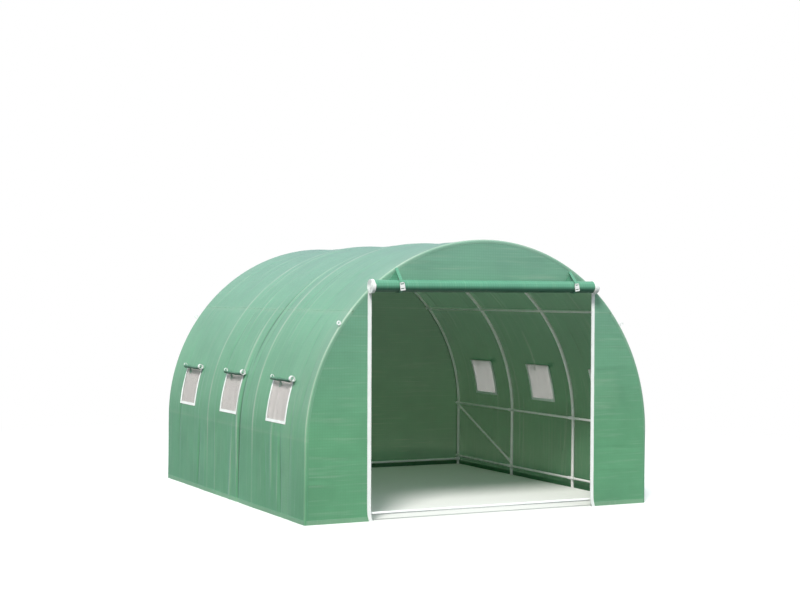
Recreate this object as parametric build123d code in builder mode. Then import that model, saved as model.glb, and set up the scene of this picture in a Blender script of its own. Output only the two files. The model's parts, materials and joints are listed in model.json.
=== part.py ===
"""Walk-in polytunnel: tube hoops and purlins under a sewn sheet cover with mesh windows.

The front has a rolled-up door. Lengths are in millimetres. +X is to the right along the front,
+Y runs into the tunnel and +Z is up. The origin is on the ground, in the middle of the whole
footprint, rolled door included.
"""
import os
from math import acos, asin, atan2, cos, degrees, hypot, radians, sin, sqrt

from build123d import *

os.makedirs("parts", exist_ok=True)

# Overall sizes
width = 3000.0
length = 3000.0
leg_height = 575.0
seat = 0.3

# Hoops of bent tube on straight legs
hoop_count = 4
hoop_tube = 25.0
hoop_wall = 1.2
arch_tubes = 4
joint_groove = 2.0
spigot_fit = 0.3
spigot_depth = 60.0

# Purlins, rails and braces of thinner tube, pressed flat where they cross a hoop
purlin_tube = 19.0
blade_width = 28.0
blade_thickness = 5.0
blade_reach = 28.0
blade_taper = 36.0
lower_purlin_height = 605.0
upper_purlin_height = 1530.0
side_rail_height = 85.0
cross_rail_height = 52.0
brace_foot_height = 130.0
brace_blade_reach = 50.0
brace_stand_off = 2.0
brace_overhang = 6.0

# Cover, and the white tapes round the doorway
sheet = 3.0
door_width = 1970.0
zip_width = 30.0
zip_thickness = 2.0
sleeve_thickness = 1.2
panel_tuck = 20.0
zip_tuck = 25.0

# Rolled door, held up by two straps with buckles. Rolled by hand, it sits a little to the left.
roll_height = 1710.0
roll_shift = -22.0
roll_radius = 50.0
roll_pitch = 4.5
roll_core_radius = 9.0
roll_overhang = 33.0
roll_tape_width = 22.0
strap_spacing = 1530.0
strap_width = 25.0
strap_thickness = 2.0
strap_tail = 15.0
strap_drop = 8.0
buckle_width = 40.0
buckle_height = 60.0
buckle_thickness = 5.0
buckle_corner = 6.0
buckle_slot_width = 28.0
buckle_slot_height = 8.0
buckle_slot_spacing = 34.0

# Mesh windows in the side walls, with their tapes and rolled flaps
window_count = 3
window_width = 340.0
window_height = 312.0
window_sill_height = 705.0
window_pitch = 976.0
window_shifts = {"left": 46.0, "right": -25.0}
net_thickness = 1.5
tape_width = 22.0
tape_overlap = 4.0
tape_thickness = 1.5
flap_radius = 14.0
flap_bore_radius = 4.0
flap_collar_radius = 19.0
flap_collar_width = 14.0
flap_overhang = 26.0

# Eyelet tabs for guy ropes, on the seams of the end walls
eyelet_height = 1430.0
eyelet_radius = 16.0
eyelet_hole_radius = 7.0
eyelet_stand_off = 18.0
eyelet_neck_width = 20.0

# Places worked out from the sizes above
radius = width / 2
hoop_radius = hoop_tube / 2
purlin_radius = purlin_tube / 2
arch_radius = radius - sheet - seat - hoop_radius
purlin_arch = arch_radius - hoop_radius - seat - blade_thickness / 2
front_reach = 2 * roll_radius - sheet + 2 * seat + strap_thickness + buckle_thickness
front_y = (front_reach - length) / 2
back_y = front_y + length
middle_y = front_y + length / 2
hoop_inset = sheet + seat + hoop_radius
hoop_pitch = (length - 2 * hoop_inset) / (hoop_count - 1)
hoop_ys = [front_y + hoop_inset + hoop_pitch * i for i in range(hoop_count)]
roll_y = front_y + sheet - roll_radius
roll_half = door_width / 2 + roll_overhang
roll_half_turns = int((roll_radius - roll_core_radius) / (roll_pitch / 2))
strap_xs = [roll_shift - strap_spacing / 2, roll_shift + strap_spacing / 2]
sides = {"left": -1, "right": 1}


def cross_section(y):
    """Plane across the tunnel at y. Its x is +X, its y is up, and a negative extrude goes inwards."""
    return Plane.XZ.offset(-y)


def spoke(lift):
    """Plane that holds the axis of the arches and rises from it by an angle. Its x is outwards."""
    outwards = (cos(radians(lift)), 0, sin(radians(lift)))
    onwards = (-sin(radians(lift)), 0, cos(radians(lift)))
    return Plane(origin=(0, 0, leg_height), x_dir=outwards, z_dir=onwards)


def lift_at(height):
    """Angle above the springing line at which the cover is this high, in degrees."""
    return degrees(asin((height - leg_height) / radius))


def arch_point(side, distance, lift):
    """Point of a cross section, at a distance from the arches' axis on one side."""
    return (
        side * distance * cos(radians(lift)),
        leg_height + distance * sin(radians(lift)),
    )


def arch_strip(side, outer, thickness, low, high):
    """Face of a curved strip between two lifts on one side, its outer edge at the radius outer."""
    start = low if side > 0 else 180 - high
    with BuildLine() as outline:
        far = CenterArc((0, leg_height), outer, start, high - low)
        near = CenterArc((0, leg_height), outer - thickness, start, high - low)
        Line(far @ 0, near @ 0)
        Line(far @ 1, near @ 1)
    make_face(outline.edges())


def arch_outline():
    """Face of a whole end wall: half a circle on straight legs."""
    with BuildLine() as outline:
        arc = CenterArc((0, leg_height), radius, 0, 180)
        Polyline(arc @ 1, (-radius, 0), (radius, 0), arc @ 0)
    make_face(outline.edges())


def save(piece, name):
    """Labels a finished piece and writes it to its own file."""
    piece.label = name
    export_step(piece, f"parts/{name}.step")


# Hoops: an arch of bent tubes, joined end to end, on legs that its spigots slide into
spigot_radius = hoop_radius - hoop_wall - spigot_fit
tube_angle = 180 / arch_tubes
groove_angle = degrees(joint_groove / arch_radius)

axis = Axis((0, 0, leg_height), (0, -1, 0))
with BuildPart() as arch:
    for i in range(arch_tubes):
        low = tube_angle * i + (groove_angle / 2 if i > 0 else 0)
        high = tube_angle * (i + 1) - (groove_angle / 2 if i < arch_tubes - 1 else 0)
        with BuildSketch(spoke(low)):
            with Locations((arch_radius, 0)):
                Circle(hoop_radius)
        revolve(axis=axis, revolution_arc=high - low)
    for i in range(1, arch_tubes):
        with BuildSketch(spoke(tube_angle * i - groove_angle)):
            with Locations((arch_radius, 0)):
                Circle(spigot_radius)
        revolve(axis=axis, revolution_arc=2 * groove_angle)
    with BuildSketch(Plane.XY.offset(leg_height - spigot_depth)):
        with Locations((-arch_radius, 0), (arch_radius, 0)):
            Circle(spigot_radius)
    extrude(amount=spigot_depth)

for number, y in enumerate(hoop_ys, start=1):
    save(arch.part.moved(Location((0, y, 0))), f"hoop_{number}_arch")

for name, side in sides.items():
    with BuildPart() as legs:
        with BuildSketch():
            with Locations([(side * arch_radius, y) for y in hoop_ys]):
                Circle(hoop_radius)
                Circle(hoop_radius - hoop_wall, mode=Mode.SUBTRACT)
        extrude(amount=leg_height)
    save(legs.part, f"{name}_legs")


# Purlins, rails and braces
def pressed_run(joints, reach, overhang):
    """Round tubes in one line along +Z, pressed flat for a reach each side of every joint.

    The flats are wide along X. At both ends of the line they pass the joint by an overhang.
    """
    last = len(joints) - 1
    with BuildPart() as run:
        for i, joint in enumerate(joints):
            low = joint - (reach if i > 0 else overhang)
            high = joint + (reach if i < last else overhang)
            with BuildSketch(Plane.XY.offset(low)):
                Ellipse(blade_width / 2, blade_thickness / 2)
            extrude(amount=high - low)
        for near, far in zip(joints, joints[1:]):
            start = near + reach
            end = far - reach
            for flat, full in ((start, start + blade_taper), (end, end - blade_taper)):
                with BuildSketch(Plane.XY.offset(flat)):
                    Ellipse(blade_width / 2, blade_thickness / 2)
                with BuildSketch(Plane.XY.offset(full)):
                    Circle(purlin_radius)
                loft()
            with BuildSketch(Plane.XY.offset(start + blade_taper)):
                Circle(purlin_radius)
            extrude(amount=end - start - 2 * blade_taper)
    return run.part


def lengthwise(side, lift):
    """Plane for a purlin under the arches, at an angle. Its z runs the length of the tunnel."""
    x, z = arch_point(side, purlin_arch, lift)
    along_arch = (-side * sin(radians(lift)), 0, cos(radians(lift)))
    return Plane(origin=(x, 0, z), x_dir=along_arch, z_dir=(0, 1, 0))


long_run = pressed_run(hoop_ys, blade_reach, hoop_radius)
lower_lift = degrees(asin((lower_purlin_height - leg_height) / purlin_arch))
upper_lift = degrees(asin((upper_purlin_height - leg_height) / purlin_arch))
brace_stack = blade_thickness + seat + brace_stand_off
brace_top = Vector(purlin_arch - brace_stack, hoop_ys[-1], lower_purlin_height)
brace_foot = Vector(purlin_arch, hoop_ys[-2], brace_foot_height)
brace_length = (brace_foot - brace_top).length
brace_run = pressed_run([0, brace_length], brace_blade_reach, brace_overhang)

save(long_run.moved(lengthwise(1, 90).location), "ridge_purlin")

for name, side in sides.items():
    save(long_run.moved(lengthwise(side, upper_lift).location), f"{name}_upper_purlin")
    save(long_run.moved(lengthwise(side, lower_lift).location), f"{name}_lower_purlin")
    rail = Plane(
        origin=(side * purlin_arch, 0, side_rail_height), x_dir=(0, 0, 1), z_dir=(0, 1, 0)
    )
    save(long_run.moved(rail.location), f"{name}_base_rail")
    top = Vector(side * brace_top.X, brace_top.Y, brace_top.Z)
    foot = Vector(side * brace_foot.X, brace_foot.Y, brace_foot.Z)
    slope = foot - top
    brace = Plane(origin=top, x_dir=slope.cross(Vector(1, 0, 0)), z_dir=slope)
    save(brace_run.moved(brace.location), f"{name}_brace")

cross_run = pressed_run([-arch_radius, arch_radius], blade_reach, hoop_radius)
cross_rail_inset = hoop_radius + seat + blade_thickness / 2
front_rail_y = hoop_ys[0] + cross_rail_inset
back_rail_y = hoop_ys[-1] - cross_rail_inset

for name, y in (("front", front_rail_y), ("back", back_rail_y)):
    rail = Plane(origin=(0, y, cross_rail_height), x_dir=(0, 0, 1), z_dir=(1, 0, 0))
    save(cross_run.moved(rail.location), f"{name}_base_rail")


# Cover over the frame: two side walls, a roof between them, and the back wall
seam_lift = lift_at(upper_purlin_height)
between_walls = length - 2 * sheet
window_low = lift_at(window_sill_height)
window_high = window_low + degrees(window_height / radius)
window_ys = {
    name: [
        middle_y + window_shifts[name] + window_pitch * (i - (window_count - 1) / 2)
        for i in range(window_count)
    ]
    for name in sides
}

for name, side in sides.items():
    with BuildPart() as wall:
        with BuildSketch(cross_section(front_y + sheet)):
            with Locations((side * (radius - sheet / 2), leg_height / 2)):
                Rectangle(sheet, leg_height)
            arch_strip(side, radius, sheet, 0, seam_lift)
        extrude(amount=-between_walls)
        for y in window_ys[name]:
            with BuildSketch(cross_section(y - window_width / 2)):
                arch_strip(side, radius + sheet, 3 * sheet, window_low, window_high)
            extrude(amount=-window_width, mode=Mode.SUBTRACT)
    save(wall.part, f"{name}_side_cover")

with BuildPart() as roof:
    with BuildSketch(cross_section(front_y + sheet)):
        arch_strip(1, radius, sheet, seam_lift, 180 - seam_lift)
    extrude(amount=-between_walls)
save(roof.part, "roof_cover")

with BuildPart() as back_wall:
    with BuildSketch(cross_section(back_y - sheet)):
        arch_outline()
    extrude(amount=-sheet)
save(back_wall.part, "back_cover")

# Front wall: a panel each side of the doorway, and a gable over it
panel_top = roll_height - panel_tuck
panel_width = radius - door_width / 2

for name, side in sides.items():
    with BuildPart() as panel:
        with BuildSketch(cross_section(front_y)):
            arch_outline()
            with Locations((side * (radius + door_width / 2) / 2, panel_top / 2)):
                Rectangle(panel_width, panel_top, mode=Mode.INTERSECT)
        extrude(amount=-sheet)
    save(panel.part, f"front_{name}_panel")

gable_height = leg_height + radius - roll_height
with BuildPart() as gable:
    with BuildSketch(cross_section(front_y)):
        arch_outline()
        with Locations((0, roll_height + gable_height / 2)):
            Rectangle(width, gable_height, mode=Mode.INTERSECT)
    extrude(amount=-sheet)
save(gable.part, "front_gable")

# White zip tapes up both sides of the doorway, and the sleeve on the rail at its foot
zip_top = roll_height - zip_tuck

for name, side in sides.items():
    with BuildPart() as zip_tape:
        with BuildSketch(cross_section(front_y - seat - zip_thickness)):
            with Locations((side * door_width / 2, zip_top / 2)):
                Rectangle(zip_width, zip_top)
        extrude(amount=-zip_thickness)
    save(zip_tape.part, f"{name}_door_zip")

sleeve_bore = purlin_radius + seat
sleeve_length = door_width - zip_width
with BuildPart() as sill:
    sill_start = (-sleeve_length / 2, front_rail_y, cross_rail_height)
    with BuildSketch(Plane(origin=sill_start, x_dir=(0, 1, 0), z_dir=(1, 0, 0))):
        Circle(sleeve_bore + sleeve_thickness)
        Circle(sleeve_bore, mode=Mode.SUBTRACT)
    extrude(amount=sleeve_length)
save(sill.part, "door_sill_tape")


# Rolled door: one sheet wound inwards from the lower edge of the gable
def roll_section():
    """Face of the wound sheet, seen along X. Each half turn is an arc about one of two centres."""
    with BuildLine() as outline:
        centre = roll_y
        outer = roll_radius
        for i in range(roll_half_turns):
            start = 0 if i % 2 == 0 else 180
            skin = CenterArc((centre, roll_height), outer, start, -180)
            lining = CenterArc((centre, roll_height), outer - sheet, start, -180)
            if i == 0:
                Line(skin @ 0, lining @ 0)
            outer -= roll_pitch / 2
            centre += -roll_pitch / 2 if i % 2 == 0 else roll_pitch / 2
        Line(skin @ 1, lining @ 1)
    make_face(outline.edges())


with BuildPart() as door_roll:
    with BuildSketch(Plane.YZ.offset(roll_shift + roll_tape_width - roll_half)):
        roll_section()
    extrude(amount=2 * (roll_half - roll_tape_width))
save(door_roll.part, "door_roll")

with BuildPart() as roll_tapes:
    for start in (-roll_half, roll_half - roll_tape_width):
        with BuildSketch(Plane.YZ.offset(roll_shift + start)):
            roll_section()
        extrude(amount=roll_tape_width)
save(roll_tapes.part, "door_roll_end_tapes")

# Straps: each hangs from the gable's seam, passes under the roll and rises behind it
wrap_radius = roll_radius + seat + strap_thickness / 2
strap_top_y = front_y - seat - strap_thickness
seam_height = leg_height + sqrt(radius**2 - max(abs(x) for x in strap_xs) ** 2)
strap_top_z = seam_height - strap_drop
rise = strap_top_z - roll_height
forward = strap_top_y - roll_y
tangent_angle = degrees(atan2(rise, forward) + acos(wrap_radius / hypot(rise, forward)))

with BuildPart() as straps:
    for x in strap_xs:
        with BuildSketch(Plane.YZ.offset(x - strap_width / 2)):
            with BuildLine():
                wrap = CenterArc(
                    (roll_y, roll_height), wrap_radius, tangent_angle, 360 - tangent_angle
                )
                Line((strap_top_y, strap_top_z), wrap @ 0)
                Line(wrap @ 1, (roll_y + wrap_radius, roll_height + strap_tail))
            trace(line_width=strap_thickness)
        extrude(amount=strap_width)
save(straps.part, "door_straps")

buckle_y = roll_y - wrap_radius - strap_thickness / 2 - seat - buckle_thickness
slot_offset = buckle_slot_spacing / 2

with BuildPart() as buckles:
    with BuildSketch(cross_section(buckle_y)):
        with Locations([(x, roll_height) for x in strap_xs]):
            RectangleRounded(buckle_width, buckle_height, buckle_corner)
            with Locations((0, -slot_offset), (0, slot_offset)):
                Rectangle(buckle_slot_width, buckle_slot_height, mode=Mode.SUBTRACT)
    extrude(amount=-buckle_thickness)
save(buckles.part, "strap_buckles")

# Windows: a net in each opening, a tape round three of its edges, and a flap rolled up above
lift_per_mm = degrees(1 / radius)
tape_margin = tape_width - tape_overlap

for name, side in sides.items():
    with BuildPart() as nets:
        for y in window_ys[name]:
            with BuildSketch(cross_section(y - window_width / 2 + seat)):
                arch_strip(
                    side,
                    radius,
                    net_thickness,
                    window_low + seat * lift_per_mm,
                    window_high - seat * lift_per_mm,
                )
            extrude(amount=-(window_width - 2 * seat))
    save(nets.part, f"{name}_window_nets")

    with BuildPart() as tapes:
        tape_face = radius + seat + tape_thickness
        for y in window_ys[name]:
            with BuildSketch(cross_section(y - window_width / 2 - tape_margin)):
                low = window_low - tape_margin * lift_per_mm
                arch_strip(side, tape_face, tape_thickness, low, window_high)
            extrude(amount=-(window_width + 2 * tape_margin))
            with BuildSketch(cross_section(y - window_width / 2 + tape_overlap)):
                low = window_low + tape_overlap * lift_per_mm
                high = window_high + tape_width * lift_per_mm
                arch_strip(side, tape_face + sheet, 2 * sheet, low, high)
            extrude(amount=-(window_width - 2 * tape_overlap), mode=Mode.SUBTRACT)
    save(tapes.part, f"{name}_window_tapes")

    with BuildPart() as flaps:
        flap_length = window_width + 2 * flap_overhang
        flap_lift = window_high + flap_radius * lift_per_mm
        place = arch_point(side, radius + seat + flap_collar_radius, flap_lift)
        for y in window_ys[name]:
            start = y - flap_length / 2
            with BuildSketch(cross_section(start)):
                with Locations(place):
                    Circle(flap_radius)
            extrude(amount=-flap_length)
            for collar_start in (start, start + flap_length - flap_collar_width):
                with BuildSketch(cross_section(collar_start)):
                    with Locations(place):
                        Circle(flap_collar_radius)
                extrude(amount=-flap_collar_width)
            with BuildSketch(cross_section(start)):
                with Locations(place):
                    Circle(flap_bore_radius)
            extrude(amount=-flap_length, mode=Mode.SUBTRACT)
    save(flaps.part, f"{name}_window_rolls")

# Eyelet tabs: small rings that stand off the seams of the front and back walls
eyelet_lift = lift_at(eyelet_height)
eyelet_distance = radius + seat + eyelet_stand_off

for end, y in (("front", front_y), ("back", back_y - sheet)):
    for name, side in sides.items():
        x, z = arch_point(side, eyelet_distance, eyelet_lift)
        turn = eyelet_lift if side > 0 else 180 - eyelet_lift
        with BuildPart() as eyelet:
            with BuildSketch(cross_section(y)):
                with Locations(Location((x, z, 0), (0, 0, turn))):
                    RegularPolygon(eyelet_radius, 8, major_radius=False, rotation=22.5)
                    with Locations((-eyelet_stand_off / 2, 0)):
                        Rectangle(eyelet_stand_off, eyelet_neck_width)
                    Circle(eyelet_hole_radius, mode=Mode.SUBTRACT)
            extrude(amount=-sheet)
        save(eyelet.part, f"{end}_{name}_eyelet")
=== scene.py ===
# %% [markdown]
# A walk-in polytunnel: four tube hoops under one sewn sheet of green woven plastic.
# The frame of tubes comes from the CAD model and only needs its finish here. Everything that is
# cloth is made again in this lesson, because cloth sags, creases and lets light through.
# All lengths are in metres, +Y runs into the tunnel and +Z is up.

# %% Open the frame
import json
import math
from collections import namedtuple

import bmesh
import bpy
import numpy as np
from mathutils import Matrix, Vector


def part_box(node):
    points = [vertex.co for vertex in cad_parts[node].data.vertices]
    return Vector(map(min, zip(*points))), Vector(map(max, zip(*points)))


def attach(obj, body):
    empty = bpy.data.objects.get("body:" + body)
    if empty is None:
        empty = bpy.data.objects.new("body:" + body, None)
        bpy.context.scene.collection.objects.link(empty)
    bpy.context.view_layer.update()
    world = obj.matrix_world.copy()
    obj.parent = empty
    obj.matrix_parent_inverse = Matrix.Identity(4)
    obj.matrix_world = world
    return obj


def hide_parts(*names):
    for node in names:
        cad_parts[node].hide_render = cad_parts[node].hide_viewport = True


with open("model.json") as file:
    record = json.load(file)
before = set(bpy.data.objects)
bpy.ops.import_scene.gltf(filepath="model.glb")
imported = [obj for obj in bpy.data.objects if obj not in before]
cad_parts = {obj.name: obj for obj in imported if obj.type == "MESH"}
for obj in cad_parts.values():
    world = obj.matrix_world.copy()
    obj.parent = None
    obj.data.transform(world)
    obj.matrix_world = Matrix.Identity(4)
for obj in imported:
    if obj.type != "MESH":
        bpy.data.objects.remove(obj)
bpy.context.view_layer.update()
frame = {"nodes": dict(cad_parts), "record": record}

# %% [markdown]
# Every size below is read from the frame's boxes, so the cloth keeps to the tubes that carry it.
# The sheet is drawn at its real thinness, a little outside the hoops.

# %% Sizes read from the frame
def middle(node):
    """Middle of a CAD node's box."""
    low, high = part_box(node)
    return (Vector(low) + Vector(high)) / 2


hoop_names = [f"hoop_{n}_arch" for n in (1, 2, 3, 4)]
hoop_ys = [middle(name).y for name in hoop_names]
hoop_low, hoop_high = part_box("hoop_1_arch")
tube_radius = (hoop_high[1] - hoop_low[1]) / 2
arch_radius = hoop_high[0] - tube_radius
leg_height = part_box("left_legs")[1][2]
roll_middle = middle("door_roll")
roll_radius = 0.98 * (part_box("door_roll")[1][2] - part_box("door_roll")[0][2]) / 2
roll_half = 0.974 * (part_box("door_roll_end_tapes")[1][0] - roll_middle.x)
zip_x = middle("right_door_zip").x
zip_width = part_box("right_door_zip")[1][0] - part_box("right_door_zip")[0][0]
seam_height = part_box("left_side_cover")[1][2]

cloth = 0.0008
wrap = tube_radius + 0.0023
sheet_radius = arch_radius + wrap
section_length = 2 * leg_height + math.pi * sheet_radius
print("hoops at", [round(y, 3) for y in hoop_ys], "cover", round(section_length, 3), "m round")

# %% [markdown]
# The camera comes first. Its place, turn and lens were worked out from the arch, hoops and windows
# in the photograph, so the tunnel falls where it does there.

# %% Camera
camera_place = Vector((-5.681, -10.810, 1.6095))
camera_turn = math.radians(27.757)
camera_roll = math.radians(0.673)

camera_data = bpy.data.cameras.new("camera")
camera_data.lens = 64.95
camera_data.sensor_width = 36.0
camera_data.clip_end = 200.0
camera = bpy.data.objects.new("camera", camera_data)
bpy.context.scene.collection.objects.link(camera)
upright = Vector((0, 0, 1))
ahead = Vector((math.sin(camera_turn), math.cos(camera_turn), 0.0))
level = ahead.cross(upright)
right_way = level * math.cos(camera_roll) + upright * math.sin(camera_roll)
up_way = upright * math.cos(camera_roll) - level * math.sin(camera_roll)
turned = Matrix((right_way, up_way, -ahead)).transposed().to_4x4()
camera.matrix_world = Matrix.Translation(camera_place) @ turned
bpy.context.scene.camera = camera
print("camera", camera_place, "lens", camera_data.lens)

# %% [markdown]
# Light, floor and every finish are built from shader nodes. A few helpers keep that short: each adds
# one kind of node, feeds its inputs with numbers, colours or other nodes, and gives back its output.

# %% Node helpers
def feed(tree, socket, value):
    """Sets a socket to a number, colour or vector, or links another node's output to it."""
    if isinstance(value, bpy.types.NodeSocket):
        tree.links.new(value, socket)
    elif socket.type == "RGBA":
        socket.default_value = (*value, 1.0)
    else:
        socket.default_value = value


def add(tree, kind, inputs=None, **settings):
    """New node with its settings, and with inputs fed by name or number."""
    node = tree.nodes.new(kind)
    for name, value in settings.items():
        setattr(node, name, value)
    for name, value in (inputs or {}).items():
        feed(tree, node.inputs[name], value)
    return node


def maths(tree, operation, *values):
    """Output of a Math node."""
    return add(tree, "ShaderNodeMath", dict(enumerate(values)), operation=operation).outputs[0]


def mixed(tree, factor, a, b):
    """Colour between two colours."""
    return add(tree, "ShaderNodeMix", {0: factor, 6: a, 7: b}, data_type="RGBA").outputs[2]


def both(tree, factor, a, b):
    """Shader between two shaders."""
    return add(tree, "ShaderNodeMixShader", {0: factor, 1: a, 2: b}).outputs[0]


def noise(tree, vector, scale, detail=3.0, roughness=0.55):
    """Value of a Noise Texture."""
    inputs = {"Vector": vector, "Scale": scale, "Detail": detail, "Roughness": roughness}
    return add(tree, "ShaderNodeTexNoise", inputs).outputs["Fac"]


def remapped(tree, value, low, high, to_low=0.0, to_high=1.0, kind="LINEAR"):
    """Value stretched from one range to another, and kept inside it."""
    inputs = {"Value": value, "From Min": low, "From Max": high, "To Min": to_low, "To Max": to_high}
    return add(tree, "ShaderNodeMapRange", inputs, interpolation_type=kind).outputs["Result"]


def fresh(name):
    """New material, its tree, its Principled node and its Object coordinates."""
    paint = bpy.data.materials.new(name)
    paint.use_nodes = True
    tree = paint.node_tree
    return paint, tree, tree.nodes["Principled BSDF"], add(tree, "ShaderNodeTexCoord").outputs["Object"]


def finish(tree, surface, **inputs):
    """Feeds a Principled node's inputs, whose names are given with _ for a space."""
    for name, value in inputs.items():
        feed(tree, surface.inputs[name.replace("_", " ")], value)


def show(tree, shader):
    """Makes a shader the one that the material shows."""
    feed(tree, tree.nodes["Material Output"].inputs["Surface"], shader)


print("node helpers ready")

# %% [markdown]
# A studio: a pale floor that fades into white, one soft key light from the front left, and a dome
# that lights from all round, most of all from above. The dome is plain white to the camera and to
# reflections, and gives less light than that to the object, so colours come out about as written.

# %% Light
world = bpy.data.worlds.new("studio")
bpy.context.scene.world = world
world.use_nodes = True
sky = world.node_tree
sky.nodes.clear()
dome_low, dome_high = 0.58, 1.15
direction = add(sky, "ShaderNodeTexCoord").outputs["Generated"]
climb = add(sky, "ShaderNodeSeparateXYZ", {0: direction}).outputs["Z"]
dome_strength = remapped(sky, climb, -0.1, 0.9, dome_low, dome_high, "SMOOTHSTEP")
dome = add(sky, "ShaderNodeBackground", {"Color": (0.86, 0.94, 1.0), "Strength": dome_strength})
white = add(sky, "ShaderNodeBackground", {"Color": (1.0, 1.0, 1.0)})
rays = add(sky, "ShaderNodeLightPath").outputs
seen = maths(sky, "MAXIMUM", rays["Is Camera Ray"], rays["Is Transmission Ray"])
seen = maths(sky, "MAXIMUM", seen, rays["Is Glossy Ray"])
add(sky, "ShaderNodeOutputWorld", {"Surface": both(sky, seen, dome.outputs[0], white.outputs[0])})

key_data = bpy.data.lights.new("key", "SUN")
key_data.energy = 3.3
key_data.angle = math.radians(16)
key_data.color = (1.0, 0.97, 0.92)
key = bpy.data.objects.new("key", key_data)
bpy.context.scene.collection.objects.link(key)
key_from = Vector((-0.55, -0.62, 0.85))
key.rotation_mode = "QUATERNION"
key.rotation_quaternion = (-key_from).to_track_quat("-Z", "Y")
bpy.context.scene.view_settings.view_transform = "Standard"
print("dome", dome_low, "to", dome_high, "key", key_data.energy)


# %% Floor
def floor_material():
    """Pale matt floor that turns into the white of the background far from the tunnel."""
    paint, tree, matt, place = fresh("studio_floor")
    to_camera = add(tree, "ShaderNodeLightPath").outputs["Is Camera Ray"]
    distance = add(tree, "ShaderNodeVectorMath", {0: place}, operation="LENGTH").outputs["Value"]
    near, far, seen_as = (0.80, 0.80, 0.78), (0.11, 0.11, 0.105), (0.86, 0.86, 0.85)
    bounce = mixed(tree, remapped(tree, distance, 1.3, 1.6), near, far)
    finish(tree, matt, Base_Color=mixed(tree, to_camera, bounce, seen_as), Roughness=0.9)
    fade = maths(tree, "MULTIPLY", remapped(tree, distance, 2.2, 7.0, kind="SMOOTHSTEP"), to_camera)
    glow = add(tree, "ShaderNodeEmission", {"Strength": 1.0}).outputs[0]
    show(tree, both(tree, fade, matt.outputs[0], glow))
    return paint


floor_half = 60.0
floor_mesh = bpy.data.meshes.new("studio_floor")
corners = [(-1, -1), (1, -1), (1, 1), (-1, 1)]
floor_mesh.from_pydata([(x * floor_half, y * floor_half, 0.0) for x, y in corners], [], [(0, 1, 2, 3)])
floor_mesh.materials.append(floor_material())
floor = bpy.data.objects.new("studio_floor", floor_mesh)
bpy.context.scene.collection.objects.link(floor)
print("floor", 2 * floor_half, "m wide")

# %% [markdown]
# The cover is a woven plastic sheet with a coarse net of stronger threads in it. Light partly passes
# through it, partly scatters in it and partly goes straight on, so its shader mixes three: a
# Principled surface, a Translucent one and a Transparent one. The pattern reads each sheet's own UV
# map, which is laid out in metres along and across the cloth, so it bends with the sheet. Light and
# shade are also painted into its colour: it turns paler and bluer towards the top, which is painted
# light, and two attributes of the mesh paint a highlight where a tube presses from behind and shade
# where the sheet is folded in.

# %% Weaves
def threads(tree, coordinate, pitch, width):
    """1 on threads that repeat along a coordinate, 0 between them, with soft edges."""
    place = maths(tree, "FRACT", maths(tree, "DIVIDE", coordinate, pitch))
    offset = maths(tree, "ABSOLUTE", maths(tree, "SUBTRACT", place, 0.5))
    half = width / pitch / 2
    return remapped(tree, offset, half * 0.6, half * 1.4, 1.0, 0.0)


def weave(tree, flat, pitch, width):
    """Threads both ways over a sheet's own UV map."""
    split = add(tree, "ShaderNodeSeparateXYZ", {0: flat}).outputs
    return maths(tree, "MAXIMUM", *(threads(tree, split[way], pitch, width) for way in "XY"))


def bumped(tree, height, distance, strength, surface):
    """Feeds a height, in metres once multiplied by distance, to a surface's normal."""
    inputs = {"Height": height, "Distance": distance, "Strength": strength}
    normal = add(tree, "ShaderNodeBump", inputs).outputs["Normal"]
    finish(tree, surface, Normal=normal)
    return normal


def cloudy(tree, place, scale, detail, roughness=0.5, low=0.3):
    """Soft patches from 0 to 1."""
    return remapped(tree, noise(tree, place, scale, detail, roughness), low, 0.7)


def part_clear(tree, share, body, tint=(1.0, 1.0, 1.0)):
    """Shows a shader that lets a share of the light straight through, with a tint."""
    clear = add(tree, "ShaderNodeBsdfTransparent", {"Color": tint}).outputs[0]
    show(tree, both(tree, share, body, clear))


def times(colour, share):
    """A colour made darker or brighter."""
    return tuple(share * part for part in colour)


print("a colour at half strength:", times((0.2, 0.6, 0.4), 0.5))

# %% Woven sheet material
scrim_pitch = 0.021
scrim_width = 0.0050
tape_pitch = 0.0026


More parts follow.
